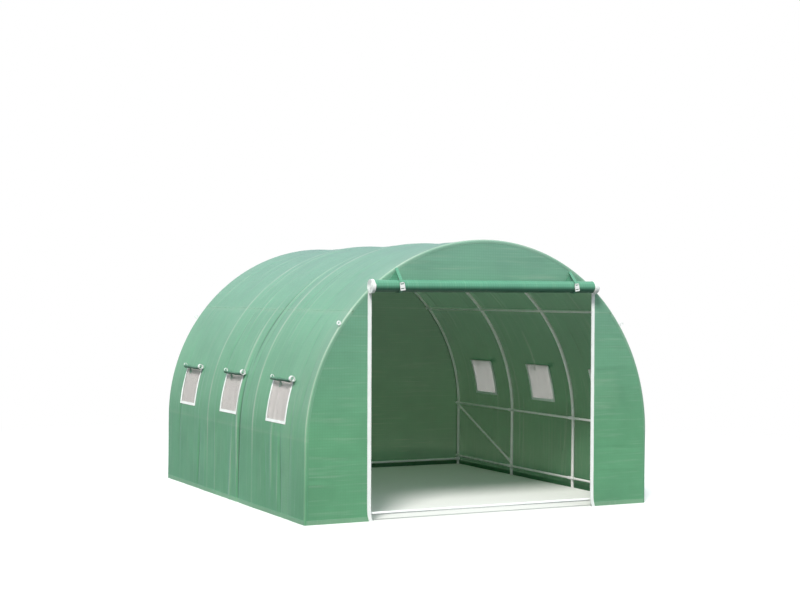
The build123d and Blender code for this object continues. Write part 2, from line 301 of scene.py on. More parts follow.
def woven_sheet(name, colour, pale, see=0.26, glow=0.27, sheen=0.55, coat=0.25):
    """Green woven plastic sheet with a net of threads, with light and shade painted in: paler towards the
    top, a painted highlight where a tube presses from behind and painted shade in folds.
    """
    paint, tree, surface, place = fresh(name)
    flat = add(tree, "ShaderNodeUVMap").outputs["UV"]
    scrim = weave(tree, flat, scrim_pitch, scrim_width)
    base = mixed(tree, cloudy(tree, place, 2.3, 4.0, 0.6), times(colour, 0.88), times(colour, 1.10))
    # Paler and bluer towards the top: painted light, as the sky lights the upper sheet more.
    up = add(tree, "ShaderNodeSeparateXYZ", {0: place}).outputs["Z"]
    base = mixed(tree, remapped(tree, up, 0.6, 2.1, 0.0, 0.31), base, pale)
    streaks = add(tree, "ShaderNodeMapping", {"Vector": flat, "Scale": (42.0, 1.7, 1.0)}).outputs[0]
    rubbed = remapped(tree, noise(tree, streaks, 1.0, 3.0, 0.6), 0.54, 0.80, 0.0, 0.27)
    # A paler colour for the rubbed streaks, which fall at random, and for the painted highlight along tubes,
    # seams and fold crests.
    streaks_and_highlight = (1.48 * pale[0], 1.19 * pale[1], 0.93 * pale[2])
    base = mixed(tree, rubbed, base, streaks_and_highlight)
    base = mixed(tree, maths(tree, "MULTIPLY", scrim, 0.30), base, times(colour, 0.55))
    # pressed paints highlight, and folded paints shade in the folds and under the rolls.
    for attribute, tint in (("pressed", streaks_and_highlight), ("folded", times(colour, 0.22))):
        share = add(tree, "ShaderNodeAttribute", attribute_name=attribute).outputs["Fac"]
        base = mixed(tree, share, base, tint)
    rough = remapped(tree, noise(tree, place, 60.0, 3.0, 0.6), 0.3, 0.7, 0.36, 0.52)
    finish(tree, surface, Base_Color=base, Roughness=rough, Sheen_Weight=sheen, Sheen_Roughness=0.35,
           Sheen_Tint=(0.62, 0.86, 1.0), Coat_Weight=coat, Coat_Roughness=0.35)
    tapes = maths(tree, "MULTIPLY", weave(tree, flat, tape_pitch, tape_pitch * 0.7), 0.15)
    height = maths(tree, "ADD", tapes, maths(tree, "MULTIPLY", scrim, 0.3))
    normal = bumped(tree, height, 0.0003, 0.4, surface)
    through = add(tree, "ShaderNodeBsdfTranslucent", {"Color": base, "Normal": normal}).outputs[0]
    body = both(tree, glow, surface.outputs[0], through)
    gaps = maths(tree, "SUBTRACT", 1.0, maths(tree, "MULTIPLY", scrim, 0.30))
    part_clear(tree, maths(tree, "MULTIPLY", gaps, see), body, (0.80, 0.88, 0.72))
    return paint


# The pale colour is what the sheet turns to towards the top and along tubes and fold crests: painted light.
sheet_green = (0.203, 0.560, 0.312)
sheet_painted_light = (0.54, 0.74, 0.83)
cover_material = woven_sheet("green_cover", sheet_green, sheet_painted_light)
# The inner face's colours are the cover's at about half strength: painted shade for the dim inside. The
# rolled green is darker than the cover's: painted shade.
shaded_inner_material = woven_sheet("green_cover_inside_shaded", times(sheet_green, 0.52), times(sheet_painted_light, 0.52),
                             glow=0.42, sheen=0.2)
rolled_shaded_green, rolled_painted_light = (0.055, 0.278, 0.152), (0.27, 0.53, 0.42)
dense_material = woven_sheet("green_rolled_shaded", rolled_shaded_green, rolled_painted_light,
                             see=0.0, glow=0.03, sheen=0.05, coat=0.0)
print("sheet materials", cover_material.name, shaded_inner_material.name, dense_material.name)

# %% [markdown]
# The cover's inner face gets a darker copy of the outer colour: painted shade, for the dim inside of
# the tunnel. Rolled sheet gets a darker colour still, which is painted shade too; it lets almost no
# light through, because light goes through many layers of it. The other finishes are simpler. White
# tape is a close weave, the nets are fine cloth that is two thirds thread and one third hole, and the
# tubes are zinc-coated steel: dull, cloudy and a little uneven in gloss. The tubes, and whatever else
# stays as the CAD model made it, only get their finish here.

# %% Tape, net, plastic and steel
def white_tape_material():
    """Close-woven white tape, a little soiled in patches."""
    paint, tree, surface, place = fresh("white_tape")
    soiled = cloudy(tree, place, 9.0, 4.0, 0.6, 0.35)
    finish(tree, surface, Base_Color=mixed(tree, soiled, (0.88, 0.91, 0.89), (0.80, 0.84, 0.82)),
           Roughness=0.62, Sheen_Weight=0.15)
    flat = add(tree, "ShaderNodeUVMap").outputs["UV"]
    bumped(tree, weave(tree, flat, 0.0016, 0.0010), 0.0003, 0.6, surface)
    return paint


def net_material():
    """Fine off-white netting: threads of cloth, and clear holes between them."""
    paint, tree, surface, place = fresh("window_net")
    patchy = cloudy(tree, place, 14.0, 3.0)
    finish(tree, surface, Base_Color=mixed(tree, patchy, (0.89, 0.82, 0.82), (0.83, 0.77, 0.77)),
           Roughness=0.75)
    flat = add(tree, "ShaderNodeUVMap").outputs["UV"]
    pitch = 0.0018
    mesh = weave(tree, flat, pitch, 0.42 * pitch)
    bumped(tree, mesh, 0.0003, 0.6, surface)
    through = add(tree, "ShaderNodeBsdfTranslucent", {"Color": (0.92, 0.90, 0.88)}).outputs[0]
    body = both(tree, 0.52, surface.outputs[0], through)
    part_clear(tree, maths(tree, "MULTIPLY", maths(tree, "SUBTRACT", 1.0, mesh), 0.65), body)
    return paint


def plastic_material():
    """White moulded plastic with a fine grain."""
    paint, tree, surface, place = fresh("white_plastic")
    patchy = cloudy(tree, place, 30.0, 3.0)
    finish(tree, surface, Base_Color=mixed(tree, patchy, (0.84, 0.85, 0.84), (0.74, 0.75, 0.74)),
           Roughness=remapped(tree, patchy, 0.0, 1.0, 0.30, 0.42))
    bumped(tree, noise(tree, place, 900.0, 2.0, 0.5), 0.0002, 0.3, surface)
    return paint


def steel_material():
    """Zinc-coated tube: cloudy patches of zinc and a soft shine."""
    paint, tree, surface, place = fresh("galvanised_tube")
    spangle = add(tree, "ShaderNodeTexVoronoi", {"Vector": place, "Scale": 120.0}).outputs["Distance"]
    patches = noise(tree, place, 16.0, 4.0, 0.6)
    tone = maths(tree, "ADD", maths(tree, "MULTIPLY", spangle, 0.20), maths(tree, "MULTIPLY", patches, 0.80))
    tone = remapped(tree, tone, 0.25, 0.65)
    finish(tree, surface, Base_Color=mixed(tree, tone, (0.93, 0.89, 0.91), (0.99, 0.95, 0.97)),
           Roughness=remapped(tree, tone, 0.0, 1.0, 0.42, 0.30), Metallic=0.0)
    bumped(tree, patches, 0.0006, 0.15, surface)
    return paint


tape_paint = white_tape_material()
net_paint = net_material()
plastic_paint = plastic_material()
steel_paint = steel_material()
frame_finish = {"galvanised_tube": steel_paint, "white_tape": tape_paint, "white_plastic": plastic_paint}
for subpart in frame["record"]["subparts"]:
    paint = frame_finish.get(subpart.get("material_slot"))
    node = frame["nodes"].get(subpart["node"])
    if paint and node:
        node.data.materials.clear()
        node.data.materials.append(paint)
print("finishes", [paint.name for paint in frame_finish.values()])

# %% [markdown]
# The tunnel's section is a leg, half a circle and a leg. One helper turns a length along the sheet
# into a place on that section, so every crease, window and seam can be given by two numbers: y along
# the tunnel and s, the length of sheet from the left foot over the roof to the right foot.

# %% Section of the tunnel
signs = {"left": -1, "right": 1}


def section(s, out):
    """x and z at length s along the sheet, a distance out from the middle line of the hoops."""
    angle = np.clip((s - leg_height) / sheet_radius, 0.0, math.pi)
    below = np.maximum(leg_height - s, 0.0) + np.maximum(s - section_length + leg_height, 0.0)
    reach = arch_radius + out
    return -reach * np.cos(angle), leg_height + reach * np.sin(angle) - below


def run_up(height):
    """Length of sheet from the left foot to a height on the arch."""
    return leg_height + sheet_radius * math.asin((height - leg_height) / sheet_radius)


def measured(side, up):
    """s at a length of sheet from a side's own foot, or that length at s."""
    return up if side == "left" else section_length - up


seam_at = run_up(seam_height)
print("halfway round", section(np.array(section_length / 2), wrap))


# %% Steps, grids and soft noise
def spaced(start, stop, step):
    """Even places from start to stop, no further apart than step."""
    count = max(1, math.ceil((stop - start) / step - 1e-6))
    return np.linspace(start, stop, count + 1)


def through(stops, step):
    """Places that pass through every stop, about a step apart."""
    runs = [spaced(a, b, step)[:-1] for a, b in zip(stops[:-1], stops[1:])]
    return np.concatenate([*runs, [stops[-1]]])


def between(places):
    """Middles between neighbouring places."""
    return (places[:-1] + places[1:]) / 2


def rows_up(side, up):
    """s of rows that are given from a side's own foot, in rising order."""
    return np.sort(measured(side, up))


def grid(rows, columns):
    """The rows' values and the columns' values at every crossing."""
    return np.meshgrid(rows, columns, indexing="ij")


def ease(low, high, value):
    """0 below low, 1 above high, and smooth between them."""
    t = np.clip((value - low) / (high - low), 0.0, 1.0)
    return t * t * (3 - 2 * t)


def soft_noise(u, v, seed):
    """Smooth noise from -1 to 1 over a lattice whose cells are 1 wide."""
    table = np.random.default_rng(seed).uniform(-1, 1, (64, 64))
    i, j = np.floor(u).astype(int), np.floor(v).astype(int)
    a, b = ease(0, 1, u - i), ease(0, 1, v - j)
    near = table[i % 64, j % 64] * (1 - a) + table[(i + 1) % 64, j % 64] * a
    far = table[i % 64, (j + 1) % 64] * (1 - a) + table[(i + 1) % 64, (j + 1) % 64] * a
    return near * (1 - b) + far * b


print("0 to 1 in steps of 0.3 at most:", spaced(0, 1, 0.3))

# %% [markdown]
# Each side has three windows, at the places of the frame's nets. In the photograph those of the right
# side show a little higher on the sheet than those of the left.

# %% Places of the windows
window_width = 0.3394
window_low, window_high = (run_up(corner[2]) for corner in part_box("left_window_nets"))
window_raised = {"left": 0.0, "right": 0.036}
window_span = {side: (window_low + up, window_high + up) for side, up in window_raised.items()}


def window_middles(side):
    """y of the middle of each of a side's three windows."""
    low, high = (corner[1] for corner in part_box(f"{side}_window_nets"))
    pitch = (high - low - window_width) / 2
    return [(low + high) / 2 + pitch * step for step in (-1, 0, 1)]


window_ys = {side: window_middles(side) for side in signs}
print("windows", {side: np.round(ys, 3).tolist() for side, ys in window_ys.items()})

# %% [markdown]
# Pulled over four hoops, the sheet dips a little between them and gathers into long creases that run
# round the section. Each crease is a ridge with a sharp crest that fades out at both ends. Those that
# stand out in the photograph are listed one by one, and a seeded draw adds the small ones.

# %% Creases of the cover
Crease = namedtuple("Crease", "y low high height reach drift")
shown_creases = [
    Crease(-0.150, -0.30, 1.30, -0.0130, 0.036, 0.00),
    Crease(-0.215, 0.95, 2.15, -0.0120, 0.040, -0.06),
    Crease(-0.112, 0.05, 0.80, 0.0070, 0.024, 0.00),
    Crease(-0.990, -0.10, 0.76, -0.0100, 0.026, 0.02),
    Crease(-0.940, -0.05, 0.66, 0.0060, 0.022, 0.02),
    Crease(-0.700, 0.05, 0.60, -0.0050, 0.022, 0.03),
    Crease(-1.170, 0.90, 1.70, -0.0060, 0.028, 0.02),
    Crease(0.760, -0.10, 0.60, -0.0090, 0.032, -0.08),
    Crease(0.330, 0.85, 1.75, -0.0060, 0.030, -0.03),
    Crease(-0.020, 1.05, 1.60, 0.0050, 0.026, 0.02),
    Crease(1.250, 0.10, 1.10, -0.0060, 0.030, 0.03),
    Crease(-1.200, 0.25, 1.60, 0.0030, 0.035, 0.03),
    Crease(-0.650, 1.00, 2.30, -0.0035, 0.040, 0.00),
    Crease(0.300, 1.00, 2.20, 0.0030, 0.035, 0.03),
    Crease(-1.300, 1.10, 2.60, -0.0030, 0.030, 0.00),
]


def small_creases(count, seed):
    """Seeded creases spread over the whole cover."""
    draw = np.random.default_rng(seed)
    made = []
    for _ in range(count):
        middle_s, long = draw.uniform(0.1, section_length - 0.1), draw.uniform(0.4, 1.5)
        height = draw.uniform(0.0014, 0.0062) * draw.choice([-1, 1])
        made.append(Crease(draw.uniform(hoop_ys[0], hoop_ys[3]), middle_s - long / 2, middle_s + long / 2,
                           height, draw.uniform(0.014, 0.040), draw.uniform(-0.06, 0.06)))
    return made


creases = shown_creases + small_creases(110, seed=4)
print(len(creases), "creases")

# %% Relief of the cover
wander = 0.006
dip = 0.010
slack_at_foot = 0.003
deepest = -0.021


def crease_relief(y, s, folds):
    """Sum of the creases at each place of the sheet."""
    relief = np.zeros(np.broadcast(y, s).shape)
    for fold in folds:
        along = np.clip((s - fold.low) / (fold.high - fold.low), 0.0, 1.0)
        line = fold.y + fold.drift * (along - 0.5) + wander * np.sin(7.0 * s + 40.0 * fold.y)
        near = np.maximum(1.0 - np.abs(y - line) / fold.reach, 0.0)
        relief += fold.height * np.sin(math.pi * along) ** 0.7 * near**1.5
    return relief


def cover_relief(y, s):
    """How far the cover stands out from its even line over the hoops, in metres."""
    bay = np.clip(np.searchsorted(hoop_ys, y, side="right") - 1, 0, 2)
    start, bay_width = np.take(hoop_ys, bay), np.take(np.diff(hoop_ys), bay)
    t = np.clip((y - start) / bay_width, 0.0, 1.0)
    to_hoop = np.minimum(t, 1 - t) * bay_width
    up = np.minimum(s, section_length - s)
    depth = slack_at_foot + dip * ease(leg_height - 0.15, leg_height + 0.6, up)
    hollow = -depth * np.sin(math.pi * t) ** 0.8
    waves = 0.0012 * soft_noise(y * 9.0, s * 1.6, 21) + 0.0007 * soft_noise(y * 24.0, s * 3.0, 22)
    loose = crease_relief(y, s, creases) + waves
    relief = hollow + loose * ease(0.0, 0.06, to_hoop)
    return np.maximum(relief, deepest) * (y > hoop_ys[0]) * (y < hoop_ys[3])


print("crown between the first hoops", cover_relief(-1.0, section_length / 2))

# %% [markdown]
# Every piece of cloth is a grid of points that is bent into place, because a grid keeps its own flat
# map: its UV is the cut sheet in metres. Solidify then gives it a real thickness and closes its edges,
# and it can give the inner face a finish of its own.

# %% Mesh of a sheet
aside = 4.0


def sharp_rim(mesh):
    """Marks a sheet's open edges sharp, so that its cut edge doesn't shade the face beside it."""
    edge_of = np.empty(len(mesh.loops), np.int32)
    mesh.loops.foreach_get("edge_index", edge_of)
    rim = mesh.attributes.new("sharp_edge", "BOOLEAN", "EDGE")
    rim.data.foreach_set("value", np.bincount(edge_of, minlength=len(mesh.edges)) == 1)


def sheet_mesh(points, flat, keep=None, **shades):
    """Mesh over a grid of points with a UV map in metres. keep is a mask of its faces."""
    rows, count = points.shape[:2]
    index = np.arange(rows * count).reshape(rows, count)
    quads = np.stack([index[:-1, :-1], index[1:, :-1], index[1:, 1:], index[:-1, 1:]], axis=-1)
    quads = quads.reshape(-1, 4) if keep is None else quads[keep]
    used, quads = np.unique(quads, return_inverse=True)
    quads = quads.reshape(-1, 4)
    mesh = bpy.data.meshes.new("sheet")
    mesh.from_pydata(points.reshape(-1, 3)[used].tolist(), [], quads.tolist())
    uv = mesh.uv_layers.new(name="flat")
    uv.uv.foreach_set("vector", flat.reshape(-1, 2)[used][quads.ravel()].ravel().astype(np.float32))
    for shade_name, values in shades.items():
        values = np.broadcast_to(values, (rows, count)).reshape(-1)[used]
        shade = mesh.attributes.new(shade_name, "FLOAT", "POINT")
        shade.data.foreach_set("value", values.astype(np.float32))
    mesh.shade_smooth()
    mesh.update()
    sharp_rim(mesh)
    return mesh


def joined(meshes):
    """One mesh out of several."""
    together = bmesh.new()
    for mesh in meshes:
        together.from_mesh(mesh)
    out = bpy.data.meshes.new("joined")
    together.to_mesh(out)
    together.free()
    return out


print("flat maps start", aside, "m along, so that none is below 0")


# %% Pieces of the scene
def add_piece(name, mesh, paint, replaced=()):
    """Puts a finished mesh into the scene with its material under the root body, and hides the CAD parts it
    replaces.
    """
    mesh.name = name
    piece = bpy.data.objects.new(name, mesh)
    bpy.context.scene.collection.objects.link(piece)
    mesh.materials.clear()
    mesh.materials.append(paint)
    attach(piece, "root")
    if replaced:
        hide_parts(*replaced)
    print(f"{name}: {len(mesh.polygons)} faces")
    return piece


def thicken(piece, thickness, offset=-1.0, inner=None):
    """Gives a sheet its thickness, inwards at -1 and outwards at 1. inner is its inner face's finish."""
    wall = piece.modifiers.new("thickness", "SOLIDIFY")
    wall.thickness = thickness
    wall.offset = offset
    wall.use_even_offset = False
    if inner:
        piece.data.materials.append(inner)
        wall.material_offset = 1


def add_cloth(name, mesh, paint, slot, replaced, thickness, offset=-1.0, inner=None, **cut):
    """Adds a sheet with its thickness. cut, how it is cut and held, is not used."""
    piece = add_piece(name, mesh, paint, replaced)
    thicken(piece, thickness, offset, inner)


print("cover cloth", 1000 * cloth, "mm thick")

# %% [markdown]
# The cover is three sewn sheets: two side walls and a roof that laps over them. Their columns are
# shared, so creases run on through the seams. At both ends the sheet turns round the end hoop with the
# hoop's own roundness and lies flat on the end wall in a narrow flange.

# %% Columns of the cover
flange = 0.014
column_step = 0.0125
turn = np.linspace(0, math.pi / 2, 6)[:-1]
half_window = window_width / 2
edge_ys = {y + sign * half_window for ys in window_ys.values() for y in ys for sign in (-1, 1)}
main_ys = through(sorted([*hoop_ys, *edge_ys]), column_step)
column_y = np.concatenate([
    [hoop_ys[0] - wrap] * 2, hoop_ys[0] - wrap * np.cos(turn), main_ys,
    hoop_ys[3] + wrap * np.cos(turn[::-1]), [hoop_ys[3] + wrap] * 2])
column_out = np.concatenate([
    [-flange, -flange / 2], wrap * np.sin(turn), np.full(len(main_ys), wrap),
    wrap * np.sin(turn[::-1]), [-flange / 2, -flange]])
column_run = np.concatenate([[0.0], np.cumsum(np.hypot(np.diff(column_y), np.diff(column_out)))])
print(len(column_y), "columns")

# %% [markdown]
# The sheet is painted palest where a tube presses it from behind, along the seams, beside the long
# crease and on the crests of the folds: painted highlight, where tubes show through the cloth and its
# bends catch light. It is painted darkest in the folds: painted shade. Painting that into a picture
# would tie it to one resolution, so each point of the mesh stores it, as pressed for the painted
# highlight and folded for the painted shade.

# %% Painted highlight and shade
end_line = 0.006
crease_side = -1.10
purlin_heights = (1.52, 0.605)


def stripe(place, middle_place, width):
    """1 on a line, and softly down to 0 beside it."""
    return np.exp(-(((place - middle_place) / width) ** 2))


def painted_highlight(y, s):
    """Painted highlight: how much paler the cover is painted where tubes and seams press, towards its ends
    and beside its long crease.
    """
    up = np.minimum(s, section_length - s)
    over = ease(0.15, leg_height + 0.3, up)
    inner_hoops = sum(stripe(y, hoop, 0.011) for hoop in hoop_ys[1:3])
    ends = sum(stripe(y, line, 0.0050) for line in (hoop_ys[0] - end_line, hoop_ys[3] + end_line))
    purlins = sum(stripe(up, run_up(height), 0.012) for height in purlin_heights)
    paler_towards_ends = sum(share * stripe(y, hoop_ys[n], 0.17) for n, share in ((0, 0.14), (3, 0.05)))
    pale = (0.26 + 0.54 * over) * inner_hoops + (0.26 + 0.36 * over) * ends + 0.12 * purlins
    pale += 0.24 * stripe(up, seam_at + 0.004, 0.008) + paler_towards_ends * ease(0.1, 1.2, up)
    pale += 0.13 * stripe(y, crease_side, 0.10) * (1 - ease(0.7, 1.5, s))
    return np.clip(pale * (0.75 + 0.25 * soft_noise(y * 11.0, s * 7.0, 91)), 0.0, 1.0)


print("pale at the second hoop", painted_highlight(hoop_ys[1], section_length / 2))

# %% Side walls and roof
side_step = 0.018
roof_step = 0.022
lap = 0.012
window_height = window_high - window_low


def cover_sheet(rows, lift, side):
    """One sheet of the cover, with the windows of its side left open."""
    s, y = grid(rows, column_y)
    x, z = section(s, column_out + lift + cover_relief(y, s))
    flat = np.stack([np.broadcast_to(column_run, s.shape), s], axis=-1)
    keep = np.ones((len(rows) - 1, len(column_y) - 1), bool)
    if side:
        up = measured(side, between(rows))
        low, high = window_span[side]
        along = (up > low) & (up < high)
        for window_y in window_ys[side]:
            across = np.abs(between(column_y) - window_y) < half_window
            keep &= ~(along[:, None] & across[None, :])
    folds = crease_relief(y, s, creases)
    # pale also paints highlight on the crests of the folds, and dark paints shade in their hollows.
    pale = np.clip(painted_highlight(y, s) + 0.45 * ease(0.0015, 0.0065, folds), 0.0, 1.0)
    dark = 0.80 * ease(0.002, 0.012, -folds)
    return sheet_mesh(np.stack([x, y, z], axis=-1), flat, keep, pressed=pale, folded=dark)


side_rows = {side: rows_up(side, through([0.0, *span, seam_at + lap], side_step))
             for side, span in window_span.items()}
cover_width = float(column_run[-1])
cover_cuts = {
    "left_side": (side_rows["left"], 0.0, "left"),
    "roof": (spaced(seam_at, section_length - seam_at, roof_step), cloth + 0.0001, None),
    "right_side": (side_rows["right"], 0.0, "right"),
}
for name, (rows, lift, side) in cover_cuts.items():
    length = float(rows[-1] - rows[0])
    openings = 3 * window_width * window_height if side else 0.0
    add_cloth(f"{name}_sheet", cover_sheet(rows, lift, side), cover_material, "green_sheet",
              [f"{name}_cover"], cloth, inner=shaded_inner_material, flat=(cover_width, length),
              held="stretched", area=cover_width * length - openings, rests_on=hoop_names)
    print(name, "cut", round(cover_width, 3), "by", round(length, 3))

# %% [markdown]
# The end walls are flat sheets sewn to the turned edge of the cover. The two front panels hang beside
# the door, the gable closes the arch above it, and the back wall is one piece. Being pulled sideways
# between the legs, they crease sideways, so their folds run along x and are drawn the same way.

# %% Creases of the end walls
end_gap = 0.0010
edge_reach = arch_radius - 0.001


def side_creases(count, seed, low, high, height=0.0022):
    """Seeded creases that run across an end wall between two heights."""
    draw = np.random.default_rng(seed)
    made = []
    for _ in range(count):
        middle_x, long = draw.uniform(-1.6, 1.6), draw.uniform(0.25, 0.9)
        made.append(Crease(draw.uniform(low, high), middle_x - long / 2, middle_x + long / 2,
                           draw.uniform(0.3, 1.0) * height * draw.choice([-1, 1]),
                           draw.uniform(0.010, 0.028), draw.uniform(-0.05, 0.05)))
    return made


def wall_edge(z):
    """Half the width of an end wall at a height."""
    over = np.clip(z - leg_height, 0.0, edge_reach)
    return np.sqrt(np.maximum(edge_reach**2 - over**2, 0.0))


def area_under(heights, places):
    """Area under a line of heights."""
    return float((np.diff(places) * between(heights)).sum())


def add_wall(name, node, x, z, y, outward, folds, calm, **cut):
    """Adds a sheet in an end wall from grids of x and z. outward is -1 in front and 1 behind."""
    relief = crease_relief(z, x, folds) + 0.0011 * soft_noise(x * 4.0, z * 9.0, 31)
    relief = relief * calm * ease(0.02, 0.12, z)
    points = np.stack([x, y + outward * relief, z], axis=-1)
    flat = np.stack([z, x + aside], axis=-1)
    mesh = sheet_mesh(points[:, ::outward], flat[:, ::outward], pressed=0.0)
    add_cloth(name, mesh, cover_material, "green_sheet", [node], cloth, inner=shaded_inner_material,
              held="stretched", **cut)


print("end walls reach", round(edge_reach, 3), "m from the middle of the arch")

# %% Front panels
panel_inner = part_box("front_right_panel")[0][0]
panel_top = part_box("front_right_panel")[1][2]
panel_y = hoop_ys[0] - wrap + end_gap
panel_lean = {"left": 0.016, "right": -0.012}
panel_folds = side_creases(60, seed=12, low=0.1, high=1.55)

for side, lean in panel_lean.items():
    rows = through([0.0, leg_height, panel_top], 0.014)
    share = np.linspace(0.0, 1.0, 34)
    inner = panel_inner + lean * rows / panel_top
    outer = np.maximum(wall_edge(rows), inner + 0.0005)
    x = inner[:, None] + share[None, :] * (outer - inner)[:, None]
    z = np.broadcast_to(rows[:, None], x.shape)
    x = x if side == "right" else -x[:, ::-1]
    calm = ease(panel_inner, panel_inner + 0.05, np.abs(x)) * ease(0.0, 0.03, wall_edge(z) - np.abs(x))
    add_wall(f"front_{side}_sheet", f"front_{side}_panel", x, z, panel_y, -1, panel_folds, calm,
             flat=(float(outer[0] - inner.min()), panel_top), area=area_under(outer - inner, rows),
             rests_on=["hoop_1_arch", f"{side}_door_zip_tape"])

# %% Gable
gable_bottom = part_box("front_gable")[0][2]
gable_half = math.sqrt(edge_reach**2 - (gable_bottom - leg_height) ** 2) - 0.002
gable_columns = spaced(-gable_half, gable_half, 0.020)
gable_top = leg_height + np.sqrt(edge_reach**2 - gable_columns**2)
share, x = grid(np.linspace(0.0, 1.0, 26), gable_columns)
z = gable_bottom + share * (gable_top - gable_bottom)
calm = ease(0.0, 0.04, gable_top - z) * ease(0.0, 0.03, z - gable_bottom)
gable_folds = side_creases(16, seed=14, low=gable_bottom, high=leg_height + edge_reach, height=0.0018)
add_wall("front_gable_sheet", "front_gable", x, z, panel_y, -1, gable_folds, calm,
         flat=(2 * gable_half, float(gable_top.max()) - gable_bottom),
         area=area_under(gable_top - gable_bottom, gable_columns), rests_on=["hoop_1_arch", "roof_sheet"])

# %% Back wall
back_y = hoop_ys[3] + wrap - end_gap
pole = np.linspace(0.0, math.pi / 2 - 0.012, 72)[1:]
rows = np.concatenate([spaced(0.0, leg_height, 0.022), leg_height + edge_reach * np.sin(pole)])
z, share = grid(rows, np.linspace(-1.0, 1.0, 121))
x = share * wall_edge(z)
back_folds = side_creases(70, seed=17, low=0.1, high=1.95)
calm = ease(0.0, 0.04, wall_edge(z) - np.abs(x))
back_area = 2 * edge_reach * leg_height + math.pi / 2 * edge_reach**2
add_wall("back_sheet", "back_cover", x, z, back_y, 1, back_folds, calm,
         flat=(2 * edge_reach, leg_height + edge_reach), area=back_area, rests_on=["hoop_4_arch"])

# %% [markdown]
# The door is rolled up from below into a roll that hangs at the foot of the gable. It is a real spiral:
# the sheet runs down the back of the roll, under it and round, and each turn lies a little further in.
# Rolled by hand, it hangs a finger's width higher at its right end.
# The zip tapes on the door's two edges are wound up with it and show as white discs at the ends, where
# the right one shows twice as wide as the left one.

# %% Door roll
white_edge = {-1: 0.020, 1: 0.042}
edge_lap = 0.004
roll_core = 0.009
roll_tilt = 0.0095
roll_axis = (math.cos(roll_tilt), 0.0, math.sin(roll_tilt))
roll_centre = roll_middle + Vector((-0.009, 0.0, 0.0105))


def wound(stations, core, axis, back, radii, turns, turn_points, uneven, seed, shade=(0.0, 0.0, 1.0)):
    """Spiral sheet round a core with stations along its axis, and its length. It starts at its back and
    goes down. shade paints shade on what looks down: how much, and between which two slopes."""
    angle = np.linspace(0.0, turns * 2 * math.pi, turns * turn_points + 1)
    radius = radii[0] + (radii[1] - radii[0]) * angle / angle[-1]
    a, along = grid(angle, stations)
    bulge = soft_noise(along * 5.0, a * 1.1, seed) + 0.6 * soft_noise(along * 17.0, a * 0.6, seed + 1)
    r = (radius[:, None] + uneven * bulge * ease(0.0, 1.2, a))[..., None]
    axis, back = np.array(axis, float), np.array(back, float)
    turned = np.cos(a)[..., None] * back - np.sin(a)[..., None] * np.cross(axis, back)
    points = np.array(core, float) + along[..., None] * axis + r * turned
    length = np.concatenate([[0.0], np.cumsum(np.hypot(np.diff(radius), radius[1:] * np.diff(angle)))])
    flat = np.stack([along + aside, 2.0 - np.broadcast_to(length[:, None], along.shape)], axis=-1)
    underside_shade = shade[0] * ease(shade[1], shade[2], -turned[..., 2])
    mesh = sheet_mesh(points[:, ::-1], flat[:, ::-1], pressed=0.0, folded=underside_shade[:, ::-1])
    return mesh, float(length[-1])


roll_left = -roll_half + white_edge[-1] - edge_lap
roll_right = roll_half - white_edge[1] + edge_lap
roll_stations = spaced(roll_left, roll_right, 0.034)
# The roll's shade paints shade on its underside.
mesh, roll_length = wound(roll_stations, roll_centre, roll_axis, (0, 1, 0), (roll_radius - 0.0008, roll_core),
                          turns=10, turn_points=26, uneven=0.0008, seed=41, shade=(0.62, 0.0, 0.5))
add_cloth("door_roll_sheet", mesh, dense_material, "green_sheet", ["door_roll"], thickness=0.0016,
          flat=(float(roll_stations[-1] - roll_stations[0]), roll_length), held="folded",
          rests_on=["front_gable_sheet", "door_straps_sheet"])
print("door sheet", round(roll_length, 3), "m long")

# %% Wound ends of the door's zip tapes
end_proud = 0.0040
end_radius = roll_radius + end_proud
ends = []
for sign in (-1, 1):
    stations = np.sort(sign * (roll_half - white_edge[sign] * np.array([0.0, 0.5, 1.0])))
    mesh, end_length = wound(stations, roll_centre, roll_axis, (0, 1, 0), (end_radius, 0.007),
                             turns=9, turn_points=30, uneven=0.0004, seed=43)
    ends.append(mesh)
add_cloth("door_roll_zip_ends", joined(ends), tape_paint, "white_tape", ["door_roll_end_tapes"],
          thickness=0.0030, flat=(sum(white_edge.values()), end_length), held="folded",
          rests_on=["door_roll_sheet"])

# %% [markdown]
# Straps, zip tapes and ties are flat webbing and are modelled directly: a strip of faces swept along a
# path, a little uneven because webbing never lies dead flat. A curve with a flat profile would do as
# well, but a strip keeps its UV in metres, which the weave needs.

# %% Flat webbing
webbing = 0.0012


def ribbon(path, across, width, steps, wave, seed):
    """Flat strip along a path of points. It faces the way of path direction times across."""
    path, across = np.array(path, float), np.array(across, float)
    run = np.concatenate([[0.0], np.cumsum(np.linalg.norm(np.diff(path, axis=0), axis=1))])
    ahead = np.gradient(path, axis=0)
    out = np.cross(ahead, np.broadcast_to(across, ahead.shape))
    out /= np.linalg.norm(out, axis=1, keepdims=True)
    grid_run, share = grid(run, np.linspace(-0.5, 0.5, steps + 1))
    lift = wave * soft_noise(grid_run * 18.0, share * 2.0 + 5.0, seed)
    points = path[:, None, :] + share[..., None] * width * across + lift[..., None] * out[:, None, :]
    return sheet_mesh(points, np.stack([share * width + 1.0, grid_run], axis=-1), pressed=0.0)


def path_length(line):
    """Length of a line of points."""
    return float(np.linalg.norm(np.diff(line, axis=0), axis=1).sum())


def arc(centre, radius, first, last, count):
    """Points of an arc round a centre."""
    angles = np.linspace(first, last, count)
    return centre + radius * np.stack([np.cos(angles), np.sin(angles)], axis=-1)


print("a quarter of a circle of 1 m:", round(path_length(arc(0.0, 1.0, 0.0, math.pi / 2, 30)), 3), "m")

